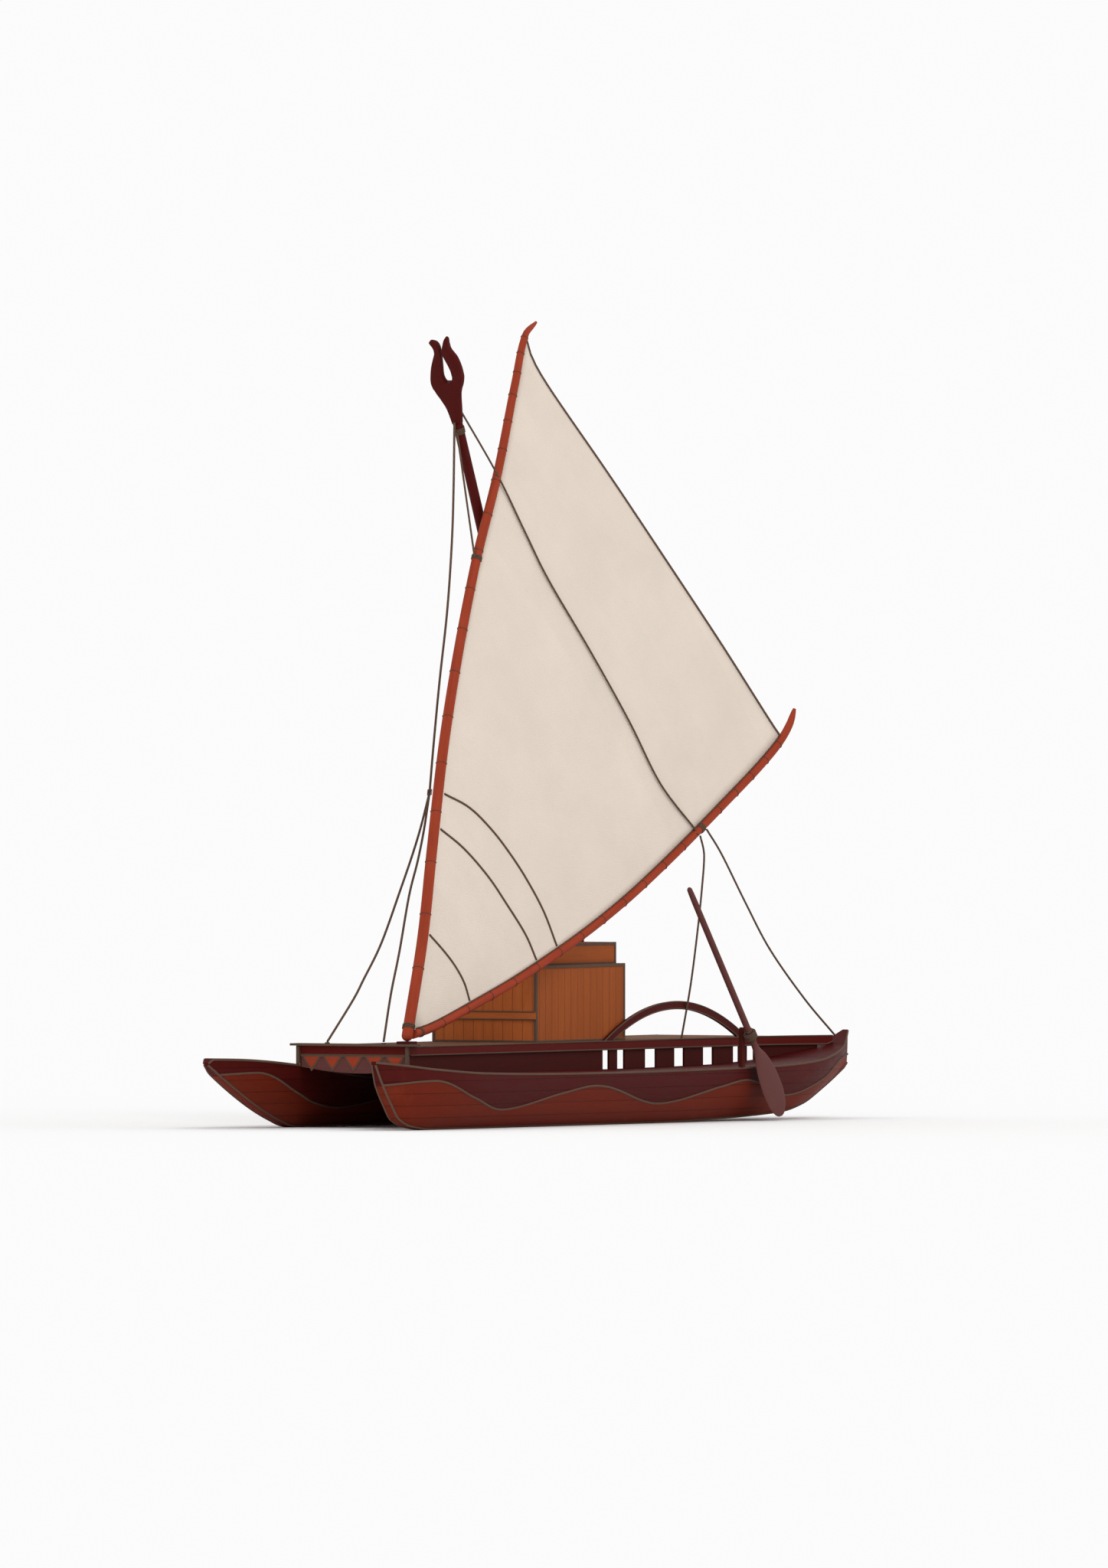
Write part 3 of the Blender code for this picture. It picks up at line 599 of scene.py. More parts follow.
@dataclass(frozen=True)
class Matting(Finish):
    """Plaited sail matting, sewn together from strips."""

    strand: float = 0.03
    strip: float = 0.8

    def dress(self, graph: Graph, shader: bpy.types.NodeInputs) -> None:
        """Lead the plaiting to the shader."""
        plait = graph.effect("plaiting", {"Place": graph.lengths(), "Strand": self.strand,
                                          "Strip": self.strip})
        colour = graph.mix(plait["Shade"], self.shade(0.95), self.shade(1.03))
        colour = graph.mix(graph.remap(plait["Tone"], 0.0, 1.0, 0.0, 0.12), colour, self.shade(0.82))
        graph.link(colour, shader["Base Color"])
        graph.link(graph.bump(plait["Height"], 0.35, 0.003), shader["Normal"])
        shader["Roughness"].default_value = 0.92
        shader["Specular IOR Level"].default_value = 0.1
        shader["Sheen Weight"].default_value = 0.05


MAROON_RGB = (76, 19, 16)
HOUSE_RGB = (156, 82, 41)
# Painted light: a lighter copy of the house colour for the end walls and front rail, offsetting the shade
# that the sail casts on the front wall.
HOUSE_END_SHADE_LIFTED_RGB = (178, 96, 49)
SPAR_RGB = (152, 60, 38)
PLUM_RGB = (98, 58, 55)
TAUPE_RGB = (95, 74, 62)
HULL_BOARDS = Boards(Across.Z, 0.26)
HOUSE_BOARDS = Boards(Across.Y, 0.24)

TOPSIDE = Timber("maroon hull paint", "maroon_paint", MAROON_RGB, (96, 36, 30), boards=HULL_BOARDS,
                 roughness=0.5, wear=0.25)
BOTTOM = Timber("red-brown hull paint", "red_brown_paint", (109, 36, 19), (126, 54, 34),
                boards=HULL_BOARDS, roughness=0.55, wear=0.35)
# Painted light: a brighter maroon than the topside paint, to offset the shade that darkens the fascias and
# the stern wing.
FASCIA_SHADE_LIFTED = Timber("maroon trim paint lifted against shade", "maroon_paint", (91, 22, 18), (104, 42, 35), roughness=0.5)
FASCIA_SHADE_LIFTED_ATHWART = replace(FASCIA_SHADE_LIFTED, name="maroon trim paint lifted against shade athwart", grain=Grain.ATHWART)
HOOP_PAINT = Timber("maroon hoop paint", "maroon_paint", MAROON_RGB, (104, 44, 36), roughness=0.5)
MAST_PAINT = replace(HOOP_PAINT, name="maroon mast paint", grain=Grain.SPAR)
DARK = Timber("dark oiled boards", "dark_wood", (72, 26, 23), (84, 44, 38), roughness=0.65)
DARK_UPRIGHT = replace(DARK, name="dark oiled stanchions", grain=Grain.UPRIGHT)
DARK_ATHWART = replace(DARK, name="dark oiled beams", grain=Grain.ATHWART)
DECK = Timber("scrubbed deck planks", "deck_wood", (118, 82, 62), (142, 108, 86),
              boards=Boards(Across.Y, 0.19, 0.004), roughness=0.75, wear=0.5, contrast=0.16)
HOUSE_ROOF = Timber("house roof boards", "house_wood", HOUSE_RGB, (166, 96, 54), boards=HOUSE_BOARDS,
                    roughness=0.65)
HOUSE_SIDE = replace(HOUSE_ROOF, name="house side boards", grain=Grain.UPRIGHT,
                     boards=Boards(Across.X, 0.27))
# The end walls wear the lighter copy of the house colour and a lighter wear colour: painted light against the
# sail's shadow.
HOUSE_END_SHADE_LIFTED = replace(HOUSE_ROOF, name="house end boards lifted against shade", colour=HOUSE_END_SHADE_LIFTED_RGB, worn=(186, 108, 60),
                    grain=Grain.UPRIGHT)
# The front rail wears the same lighter copy of the house colour: painted light against the sail's shadow.
HOUSE_RAIL_SHADE_LIFTED = Timber("house rail lifted against shade", "house_wood", HOUSE_END_SHADE_LIFTED_RGB, (186, 108, 60), Grain.ATHWART)
SPAR = Timber("red-orange spar", "spar_wood", SPAR_RGB, (170, 84, 58), Grain.SPAR, roughness=0.5,
              contrast=0.14)
FRIEZE_MARK = Timber("red-orange frieze marks", "spar_wood", SPAR_RGB, (170, 84, 58), Grain.ATHWART)
FRIEZE_GROUND = Timber("plum frieze ground", "plum_wood", PLUM_RGB, (112, 74, 70), Grain.ATHWART)
OAR_WOOD = Timber("plum oar wood", "plum_wood", PLUM_RGB, (116, 78, 72), Grain.SPAR, roughness=0.55,
                  wear=0.35)
TRIM = Timber("taupe trim", "taupe_trim", TAUPE_RGB, (112, 92, 80), Grain.SPAR, roughness=0.7)
TRIM_UPRIGHT = replace(TRIM, name="taupe posts", grain=Grain.UPRIGHT)
TRIM_ATHWART = replace(TRIM, name="taupe cap", grain=Grain.ATHWART)
STAY_ROPE = Rope("stay rope", "rope", TAUPE_RGB, 0.025)
CORD_ROPE = Rope("lashing cord", "rope", TAUPE_RGB, 0.014)
SAILCLOTH = Matting("plaited sail matting", "sail_matting", (225, 212, 198))


# Placing pieces


def soften(piece: bpy.types.Object, width: float, weld: bool = False) -> None:
    """Round a piece's hard edges.

    Args:
        piece: the piece.
        width: how wide each rounding is.
        weld: whether its faces still have to be joined along their edges.
    """
    if weld:
        piece.modifiers.new("joined edges", "WELD").merge_threshold = WELD_REACH
    edge = piece.modifiers.new("soft edges", "BEVEL")
    edge.width = width
    edge.segments = 2
    edge.limit_method = "ANGLE"
    edge.angle_limit = BEVEL_ANGLE


def ride(piece: bpy.types.Object, finish: Finish, body: str, stands_for: tuple[str, ...]) -> None:
    """Dress one new piece and let it ride on a body.

    Args:
        piece: the piece.
        finish: its finish.
        body: the body that it moves with.
        stands_for: the solids that it replaces.
    """
    piece.data.materials.append(finish.material())
    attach(piece, body)
    if stands_for:
        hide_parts(*stands_for)
    LOG.info("piece %s on %s, %d faces", piece.name, body, len(piece.data.polygons))


def add_piece(name: str, skin: Skin, finish: Finish, *stands_for: str, body: str = "canoe",
              rounding: float = 0.0) -> None:
    """Build one piece and let it ride on a body.

    Args:
        name: the piece's name.
        skin: its faces.
        finish: its finish.
        stands_for: the solids that it replaces.
        body: the body that it moves with.
        rounding: how wide its edges are rounded, or 0 for none.
    """
    piece = skin.build(name)
    if rounding:
        soften(piece, rounding)
    ride(piece, finish, body, stands_for)


def add_rope_between(name: str, run: Run, radius: float, bodies: tuple[str, str]) -> None:
    """Lead a rope from one body to another.

    Args:
        name: the rope's name.
        run: its middle line.
        radius: its radius.
        bodies: the bodies that its start and its end move with.
    """
    piece = Skin().tube(run, radius, 10, AFT).build(name)
    piece.data.materials.append(STAY_ROPE.material())
    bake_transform(piece)
    LOG.info("piece %s between %s and %s", name, *bodies)


def dress_solids(finish: Finish, rounding: float, *prefixes: str) -> None:
    """Give the frame's own solids their finish and soft edges.

    Args:
        finish: their finish.
        rounding: how wide their edges are rounded, or 0 for none.
        prefixes: what the solids' names start with.
    """
    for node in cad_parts:
        if not node.startswith(prefixes):
            continue
        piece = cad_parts[node]
        piece.data.materials.clear()
        piece.data.materials.append(finish.material())
        if rounding:
            soften(piece, rounding, weld=True)
        LOG.info("solid %s dressed", node)


@dataclass
class Hull:
    """One hull: a bottom, a topside with its deck, and their mouldings."""

    name: str
    centre: float
    bow: float
    stern: float
    half_beam: float
    full_from: float
    full_to: float
    sheer: Curve
    keel: Curve
    wave: Curve
    stations: int = 150
    keel_half: float = 0.08
    end_half: float = 0.06
    plan_fullness: float = 2.4
    bilge_fullness: float = 0.8
    start_depth: float = 0.03
    start_step: float = 0.01
    moulding: float = 0.024
    gunwale_drop: float = 0.026
    bottom_levels: int = 14
    topside_levels: int = 9

    def plan(self, x: float) -> float:
        """Half the deck's width at x."""
        if x < self.full_from:
            t = (self.full_from - x) / (self.full_from - self.bow)
        else:
            t = max(x - self.full_to, 0.0) / (self.stern - self.full_to)
        return self.end_half + (self.half_beam - self.end_half) * (1 - t ** self.plan_fullness)

    def half_width(self, x: float, z: float) -> float:
        """Half the hull's width at one height of one section."""
        low = smooth(self.keel, x)
        t = min(max((z - low) / (smooth(self.sheer, x) - low), 0.0), 1.0)
        plan = self.plan(x)
        keel = min(self.keel_half, plan / 2)
        return keel + (plan - keel) * (1 - (1 - t) ** 2) ** self.bilge_fullness

    def bottom_start(self) -> float:
        """Where the wave line first rises clear of the stem."""
        x = self.bow
        while smooth(self.wave, x) - smooth(self.keel, x) < self.start_depth:
            x += self.start_step
        return x

    def places(self) -> list[float]:
        """Stations along the hull, closer together at its ends."""
        middle = (self.bow + self.stern) / 2
        half = (self.stern - self.bow) / 2
        even = [middle - half * math.cos(math.pi * i / self.stations) for i in range(self.stations + 1)]
        return sorted([*even, self.bottom_start()])

    def section(self, x: float, low: float, high: float, levels: int) -> Run:
        """One closed ring of the hull between two heights."""
        heights = [low + (high - low) * i / levels for i in range(levels + 1)]
        side = [(self.half_width(x, z), z) for z in heights]
        port = [mid(x, self.centre - w, z) for w, z in reversed(side)]
        return port + [mid(x, self.centre + w, z) for w, z in side]

    def line(self, curve: Curve, start: float, rise: float, side: int) -> Run:
        """A run of points on the hull's skin along one of its curves."""
        run = []
        for x in self.places():
            if x >= start:
                z = smooth(curve, x) + rise
                run.append(mid(x, self.centre + side * self.half_width(x, z), z))
        return run

    def build(self) -> None:
        """Make both halves and the three pairs of mouldings."""
        start = self.bottom_start()
        bottom, topside = [], []
        for x in self.places():
            low, wave = smooth(self.keel, x), smooth(self.wave, x)
            if x >= start:
                bottom.append(self.section(x, low, wave - SKIN_GAP, self.bottom_levels))
                low = wave + SKIN_GAP
            topside.append(self.section(x, low, smooth(self.sheer, x), self.topside_levels))
        for label, rings, finish in (("bottom", bottom, BOTTOM), ("topside", topside, TOPSIDE)):
            add_piece(f"{self.name}_{label}_skin", Skin().loft(rings), finish, f"{self.name}_{label}")
        for label, curve, first, rise in (("wave", self.wave, start, 0.0),
                                          ("gunwale", self.sheer, self.bow, -self.gunwale_drop),
                                          ("keel", self.keel, self.bow, self.moulding)):
            skin = Skin()
            for side in (-1, 1):
                skin.tube(self.line(curve, first, rise, side), self.moulding, BEAD_SIDES)
            add_piece(f"{self.name}_{label}_moulding", skin, TRIM)


MAIN = Hull(
    name="main_hull", centre=-2.05, bow=-10.0, stern=10.0, half_beam=0.80, full_from=-6.2, full_to=6.2,
    sheer=((-10.0, 1.48), (-9.19, 1.40), (-8.44, 1.32), (-6.62, 1.21), (-3.2, 1.15), (0.0, 1.14),
           (2.6, 1.15), (5.7, 1.18), (6.8, 1.22), (7.85, 1.29), (8.77, 1.42), (9.33, 1.53),
           (9.63, 1.66), (10.0, 1.86)),
    keel=((-10.0, 1.38), (-9.77, 0.95), (-9.4, 0.50), (-9.12, 0.22), (-8.6, 0.06), (-7.9, 0.0),
          (2.0, 0.0), (4.68, 0.05), (7.07, 0.15), (7.93, 0.30), (8.78, 0.61), (10.0, 1.13)),
    wave=((-10.0, 0.95), (-9.77, 0.97), (-8.4, 1.05), (-6.91, 0.68), (-5.5, 0.40), (-3.18, 0.72),
          (-1.9, 0.855), (1.1, 0.43), (3.6, 0.77), (4.5, 0.88), (6.5, 0.53), (8.16, 0.86),
          (9.1, 1.23), (10.0, 1.34)),
)
OUTRIGGER = Hull(
    name="outrigger_hull", centre=2.05, bow=-10.0, stern=5.4, half_beam=0.75, full_from=-6.2,
    full_to=2.4, stations=120,
    sheer=((-10.0, 1.43), (-9.86, 1.51), (-9.3, 1.50), (-7.33, 1.36), (-6.09, 1.22), (-4.29, 1.06),
           (-2.95, 0.99), (2.0, 0.98), (5.4, 1.12)),
    keel=((-10.0, 1.34), (-9.62, 1.12), (-7.14, 0.145), (-6.45, 0.0), (3.2, 0.0), (5.4, 0.55)),
    wave=((-10.0, 1.12), (-9.57, 1.16), (-8.65, 1.19), (-7.14, 0.74), (-6.38, 0.52), (-5.33, 0.40),
          (-4.29, 0.48), (-2.9, 0.64), (0.2, 0.40), (3.2, 0.66), (5.4, 0.80)),
)


@dataclass
class Platform:
    """The bridge deck: planks, boards, fascias, stern wing and painted front."""

    plank: float = 0.19
    gap: float = 0.006
    wing_back: float = 9.5
    wing_thick: float = 0.0395
    wing_sweep: float = 0.66
    wing_curve: float = 1.8
    wing_board_back: float = 9.2
    wing_board_thick: float = 0.05
    wing_board_inset: float = 0.04
    wing_steps: int = 60
    wing_bead_steps: int = 40
    wing_bead_rise: float = 0.02  # above the main hull's deck, where the wing's foot rests on it
    triangles: int = 5
    triangle_half: float = 0.19
    triangle_drop: float = 0.25
    triangle_top: float = 1.525
    triangle_proud: float = 0.02
    border: float = 0.045
    border_proud: float = 0.012
    top_border: float = 0.03
    top_border_proud: float = 0.024

    def build(self) -> None:
        """Make every piece of the platform."""
        self.build_planks()
        self.build_wing()
        self.build_frieze()
        # The fascias wear a brighter maroon than the topside paint: painted light against their shade.
        dress_solids(FASCIA_SHADE_LIFTED, 0.006, "port_fascia", "starboard_fascia")
        dress_solids(FASCIA_SHADE_LIFTED_ATHWART, 0.006, "front_fascia", "rear_fascia")
        dress_solids(DARK, 0.006, "port_washboard", "starboard_washboard", "port_rail")
        dress_solids(DARK_UPRIGHT, 0.006, "port_stanchion")
        dress_solids(DARK_ATHWART, 0.012, "crossbeam")
        dress_solids(FRIEZE_GROUND, 0.0, "front_frieze_panel")
        dress_solids(TRIM_ATHWART, 0.012, "front_cap")
        dress_solids(TRIM_UPRIGHT, 0.01, "port_corner_post", "starboard_corner_post")
        self.build_edge_lines()

    def build_planks(self) -> None:
        """Lay the deck's planks side by side, each with rounded edges."""
        low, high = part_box("deck_planking")
        count = round((high.y - low.y) / self.plank)
        width = (high.y - low.y) / count
        skin = Skin()
        for i in range(count):
            y = low.y + width * i
            skin.bar((low.x, y + self.gap / 2, low.z), (high.x, y + width - self.gap / 2, high.z))
        add_piece("deck_planks", skin, DECK, "deck_planking", rounding=0.004)

    def wing_outer(self, x: float) -> float:
        """How far from the mid-plane the stern wing's outer face lies."""
        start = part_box("port_fascia")[1].x
        t = max(x - start, 0.0) / (self.wing_back - start)
        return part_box("port_fascia")[0].y - MID_Y - self.wing_sweep * t ** self.wing_curve

    def build_wing(self) -> None:
        """Sweep the stern wing and the board under it over the main hull's deck."""
        low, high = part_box("port_fascia")
        start = high.x + SKIN_GAP
        board_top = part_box("stern_wing_board")[1].z
        for node, back, inset, thick, foot, top, finish in (
                # The stern wing wears the fascias' brighter maroon: painted light against shade.
                ("stern_wing", self.wing_back, 0.0, self.wing_thick, low.z, high.z, FASCIA_SHADE_LIFTED),
                ("stern_wing_board", self.wing_board_back, self.wing_board_inset, self.wing_board_thick,
                 0.0, board_top, DARK)):
            rings = []
            for share in shares(self.wing_steps):
                x = start + (back - start) * share
                y = self.wing_outer(x) + inset
                base = max(foot, smooth(MAIN.sheer, x) + SKIN_GAP)
                rings.append([mid(x, y, base), mid(x, y + thick, base), mid(x, y + thick, top),
                              mid(x, y, top)])
            add_piece(f"{node}_skin", Skin().loft(rings), finish, node, rounding=0.006)

    def build_frieze(self) -> None:
        """Set the row of triangles and their borders on the front panel."""
        low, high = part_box("front_frieze_panel")
        marks, borders = Skin(), Skin()
        for i in range(self.triangles):
            y = low.y + (high.y - low.y) * (i + 0.5) / self.triangles
            for skin, grow, proud in ((borders, self.border, self.border_proud),
                                      (marks, 0.0, self.triangle_proud)):
                half, top = self.triangle_half + grow, self.triangle_top
                foot = top - self.triangle_drop - grow * 1.5
                skin.loft([[Vector((x, y - half, top)), Vector((x, y + half, top)), Vector((x, y, foot))]
                           for x in (low.x - proud, low.x - SKIN_GAP)])
        borders.bar((low.x - self.top_border_proud, low.y, high.z - self.top_border),
                    (low.x - SKIN_GAP, high.y, high.z))
        add_piece("frieze_borders", borders, TRIM_ATHWART)
        add_piece("frieze_triangles", marks, FRIEZE_MARK)

    def build_edge_lines(self) -> None:
        """Run thin beads along the upper and lower edges of the fascias and the stern wing."""
        low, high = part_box("port_fascia")
        other_low, other_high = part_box("starboard_fascia")
        front_low, front_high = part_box("front_fascia")
        runs = []
        for z in (low.z + BEAD_INSET, high.z - BEAD_INSET):
            runs.append([Vector((low.x, low.y, z)), Vector((high.x, low.y, z))])
            runs.append([mid(x, self.wing_outer(x), max(z, smooth(MAIN.sheer, x) + self.wing_bead_rise))
                         for x in np.linspace(high.x, self.wing_back, self.wing_bead_steps)])
        for z in (other_low.z + BEAD_INSET, other_high.z - BEAD_INSET):
            runs.append([Vector((other_low.x, other_high.y, z)), Vector((other_high.x, other_high.y, z))])
        z = front_low.z + BEAD_INSET
        runs.append([Vector((front_low.x, front_low.y, z)), Vector((front_low.x, front_high.y, z))])
        skin = Skin()
        for run in runs:
            skin.tube(run, BEAD_RADIUS, BEAD_SIDES)
        add_piece("fascia_beads", skin, TRIM)


@dataclass
class Deckhouse:
    """The boarded house, its battens and its raised roof."""

    batten: float = 0.028
    proud: float = 0.012
    let_in: float = 0.02
    rail_proud: float = 0.01
    sill_gap: float = 0.45  # half the gap that the bottom battens leave for the doorway
    door_half: float = 0.42
    door_top: float = 3.05
    door_trim: float = 0.05
    trim_inside: float = 0.01
    trim_outside: float = 0.014

    def build(self) -> None:
        """Dress the walls, set battens on every edge and line the doorway."""
        dress_solids(HOUSE_SIDE, 0.004, "house_port_wall", "house_starboard_wall")
        # End walls in a lighter copy of the house colour: painted light against the sail's shadow on the
        # front wall.
        dress_solids(HOUSE_END_SHADE_LIFTED, 0.004, "house_front_wall", "house_rear_wall")
        dress_solids(HOUSE_ROOF, 0.008, "house_roof", "roof_block")
        # Front rail in the lighter house colour: painted light against the sail's shadow.
        dress_solids(HOUSE_RAIL_SHADE_LIFTED, 0.006, "house_front_rail")
        skin = Skin()
        low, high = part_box("house_front_wall")[0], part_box("house_rear_wall")[1]
        self.frame_box(skin, low, Vector((high.x, high.y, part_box("house_roof")[1].z)), True)
        self.frame_box(skin, *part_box("roof_block"), False)
        low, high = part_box("house_front_rail")
        half = self.batten / 2
        for z in (low.z, high.z):
            skin.bar((low.x - self.rail_proud, low.y, z - half), (low.x + self.let_in, high.y, z + half))
        add_piece("house_battens", skin, TRIM_UPRIGHT, rounding=0.004)
        self.build_door_frame()

    @staticmethod
    def lips(low: float, high: float, proud: float, deep: float) -> tuple[tuple[float, float], ...]:
        """How far a batten stands out of and reaches into a box's two opposite faces."""
        return (low - proud, low + deep), (high - deep, high + proud)

    def frame_box(self, skin: Skin, low: Vector, high: Vector, doorway: bool) -> None:
        """Set battens on a box's upright corners and its top and bottom edges.

        Args:
            skin: where the battens go.
            low: the box's lowest corner.
            high: its highest corner.
            doorway: whether the rear bottom batten leaves a gap for the doorway.
        """
        wide = 2 * self.batten
        for x_low, x_high in self.lips(low.x, high.x, self.proud, wide):
            for y_low, y_high in self.lips(low.y, high.y, self.proud, wide):
                skin.bar((x_low, y_low, low.z), (x_high, y_high, high.z + self.proud))
        flush = self.proud * 0.8
        middle = low.y + (high.y - low.y) / 2
        whole = [(low.y, high.y)]
        gapped = [(low.y, middle - self.sill_gap), (middle + self.sill_gap, high.y)]
        for z_low, z_high in ((low.z, low.z + 1.6 * self.batten), (high.z - wide, high.z + self.proud)):
            top = z_high - 0.002
            for y_low, y_high in self.lips(low.y, high.y, flush, self.let_in):
                skin.bar((low.x, y_low, z_low), (high.x, y_high, top))
            for x_low, x_high in self.lips(low.x, high.x, flush, self.let_in):
                rear_sill = doorway and z_low == low.z and x_high > high.x
                for y_low, y_high in gapped if rear_sill else whole:
                    skin.bar((x_low, y_low, z_low), (x_high, y_high, top))

    def build_door_frame(self) -> None:
        """Line the rear doorway."""
        low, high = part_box("house_rear_wall")
        middle, half = (low.y + high.y) / 2, self.door_half
        x_low, x_high = low.x - self.trim_inside, high.x + self.trim_outside
        top = self.door_top + self.door_trim
        skin = Skin()
        for y_low, y_high in self.lips(middle - half, middle + half, self.door_trim, 0.0):
            skin.bar((x_low, y_low, low.z), (x_high, y_high, top))
        skin.bar((x_low, middle - half, self.door_top), (x_high, middle + half, top))
        add_piece("door_frame", skin, TRIM_UPRIGHT, rounding=0.005)


@dataclass
class HoopRail:
    """The bent timber arch on the port edge of the deck."""

    outer_half: float = 3.00
    inner_half: float = 2.65
    outer_rise: float = 0.79
    inner_rise: float = 0.63
    bead_in: float = 0.004
    bead_down: float = 0.006
    steps: int = 72

    def build(self) -> None:
        """Bend the hoop and edge it with beads."""
        low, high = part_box("hoop_rail")
        middle = (low.x + high.x) / 2
        rings, outer, inner = [], [], []
        for i in range(self.steps + 1):
            t = 2 * i / self.steps - 1
            rise = 1 - t * t
            x, z = middle + self.outer_half * t, low.z + self.outer_rise * rise
            under_x, under_z = middle + self.inner_half * t, low.z + self.inner_rise * rise
            rings.append([Vector((x, low.y, z)), Vector((x, high.y, z)),
                          Vector((under_x, high.y, under_z)), Vector((under_x, low.y, under_z))])
            outer.append(Vector((x, low.y + self.bead_in, z - self.bead_down)))
            inner.append(Vector((under_x, low.y + self.bead_in, under_z + self.bead_down)))
        add_piece("hoop_skin", Skin().loft(rings), HOOP_PAINT, "hoop_rail", rounding=0.018)
        beads = Skin().tube(outer, BEAD_RADIUS, BEAD_SIDES).tube(inner, BEAD_RADIUS, BEAD_SIDES)
        add_piece("hoop_beads", beads, TRIM)


@dataclass
class Mast:
    """The raked mast with its forked head."""

    foot: Vector = field(default_factory=lambda: mid(3.10, 0.0, 1.8303))
    head: Vector = field(default_factory=lambda: mid(-2.975, -0.05, 14.90))
    foot_radius: float = 0.15
    head_radius: float = 0.105
    sides: int = 32
    steps: int = 40
    lashed: float = 0.988
    lashing_rope: float = 0.013
    fork_thickness: float = 0.15
    fork_thinning: float = 0.16  # width under which a horn is thinner too
    fork_steps: int = 34
    fork_sides: int = 20
    fork_lift: float = 0.0003  # keeps the fork's foot clear of the shaft's head
    stem: Edges = (  # height above the head, then the edges' distances to starboard
        (0.00, -0.110, 0.110), (0.35, -0.19, 0.175), (0.56, -0.23, 0.27), (0.72, -0.27, 0.36),
        (0.86, -0.33, 0.41), (0.94, -0.37, 0.42), (0.97, -0.36, 0.40),
    )
    port_horn: Edges = (
        (0.80, -0.295, 0.00), (0.94, -0.37, -0.03), (1.00, -0.39, -0.10), (1.11, -0.413, -0.143),
        (1.24, -0.414, -0.136), (1.35, -0.405, -0.110), (1.45, -0.388, -0.078), (1.55, -0.36, -0.043),
        (1.65, -0.30, -0.022), (1.72, -0.255, -0.035), (1.80, -0.235, -0.066), (1.88, -0.237, -0.10),
        (1.96, -0.25, -0.137), (2.01, -0.252, -0.175), (2.04, -0.235, -0.205),
    )
    starboard_horn: Edges = (
        (0.80, 0.00, 0.39), (0.94, 0.00, 0.42), (1.02, 0.05, 0.41), (1.11, 0.07, 0.388),
        (1.22, 0.06, 0.355), (1.32, 0.045, 0.32), (1.42, 0.032, 0.275), (1.51, 0.022, 0.23),
        (1.60, 0.014, 0.182), (1.66, 0.012, 0.157), (1.73, 0.006, 0.155), (1.80, 0.012, 0.172),
        (1.86, 0.032, 0.205), (1.91, 0.08, 0.232), (1.945, 0.13, 0.20),
    )

    def along(self) -> Vector:
        """Direction up the mast."""
        return (self.head - self.foot).normalized()

    def point(self, t: float) -> Vector:
        """A point of the middle line, from 0 at the foot to 1 at the head."""
        return self.foot.lerp(self.head, t)

    def radius(self, t: float) -> float:
        """The shaft's radius there."""
        return self.foot_radius + (self.head_radius - self.foot_radius) * t

    def build(self) -> None:
        """Turn the shaft, carve the fork and bind the head."""
        places = shares(self.steps)
        radii = [self.radius(t) for t in places]
        rings = tube_rings([self.point(t) for t in places], radii, self.sides, AFT)
        along = self.along()
        rings[0] = [p - along * ((p.z - self.foot.z) / along.z) for p in rings[0]]
        add_piece("mast_shaft", Skin().loft(rings), MAST_PAINT, "mast")
        self.build_fork()
        dress_solids(DARK, 0.015, "mast_step")
        where, thick = self.point(self.lashed), self.radius(self.lashed)
        add_piece("mast_lashings", Skin().lashing(where, along, thick, self.lashing_rope, 5), CORD_ROPE)

    def build_fork(self) -> None:
        """Carve the fork as a stem and two horns, each rounded in section."""
        up = self.along()
        starboard = across(STARBOARD, up)
        aft = starboard.cross(up)
        base = self.head + up * self.fork_lift
        fork = Skin()
        for edges in (self.stem, self.port_horn, self.starboard_horn):
            left = tuple((height, near) for height, near, _ in edges)
            right = tuple((height, far) for height, _, far in edges)
            rings = []
            for height in np.linspace(edges[0][0], edges[-1][0], self.fork_steps):
                near, far = smooth(left, height), smooth(right, height)
                deep = self.fork_thickness / 2 * min(1.0, (far - near) / self.fork_thinning)
                centre = base + up * height + starboard * (near + far) / 2
                rings.append([centre + starboard * (wide * (far - near) / 2) + aft * (thick * deep)
                              for wide, thick in rounded_square(self.fork_sides, 0.6)])
            fork.loft(rings)
        add_piece("masthead_horns", fork, HOOP_PAINT, "masthead_fork")


def bind(skin: Skin, run: Run, radii: list[float], i: int, rope: float, turns: int) -> Skin:
    """Lash a rope round a spar at one point of its middle line."""
    return skin.lashing(run[i], (run[i + 1] - run[i - 1]).normalized(), radii[i], rope, turns)


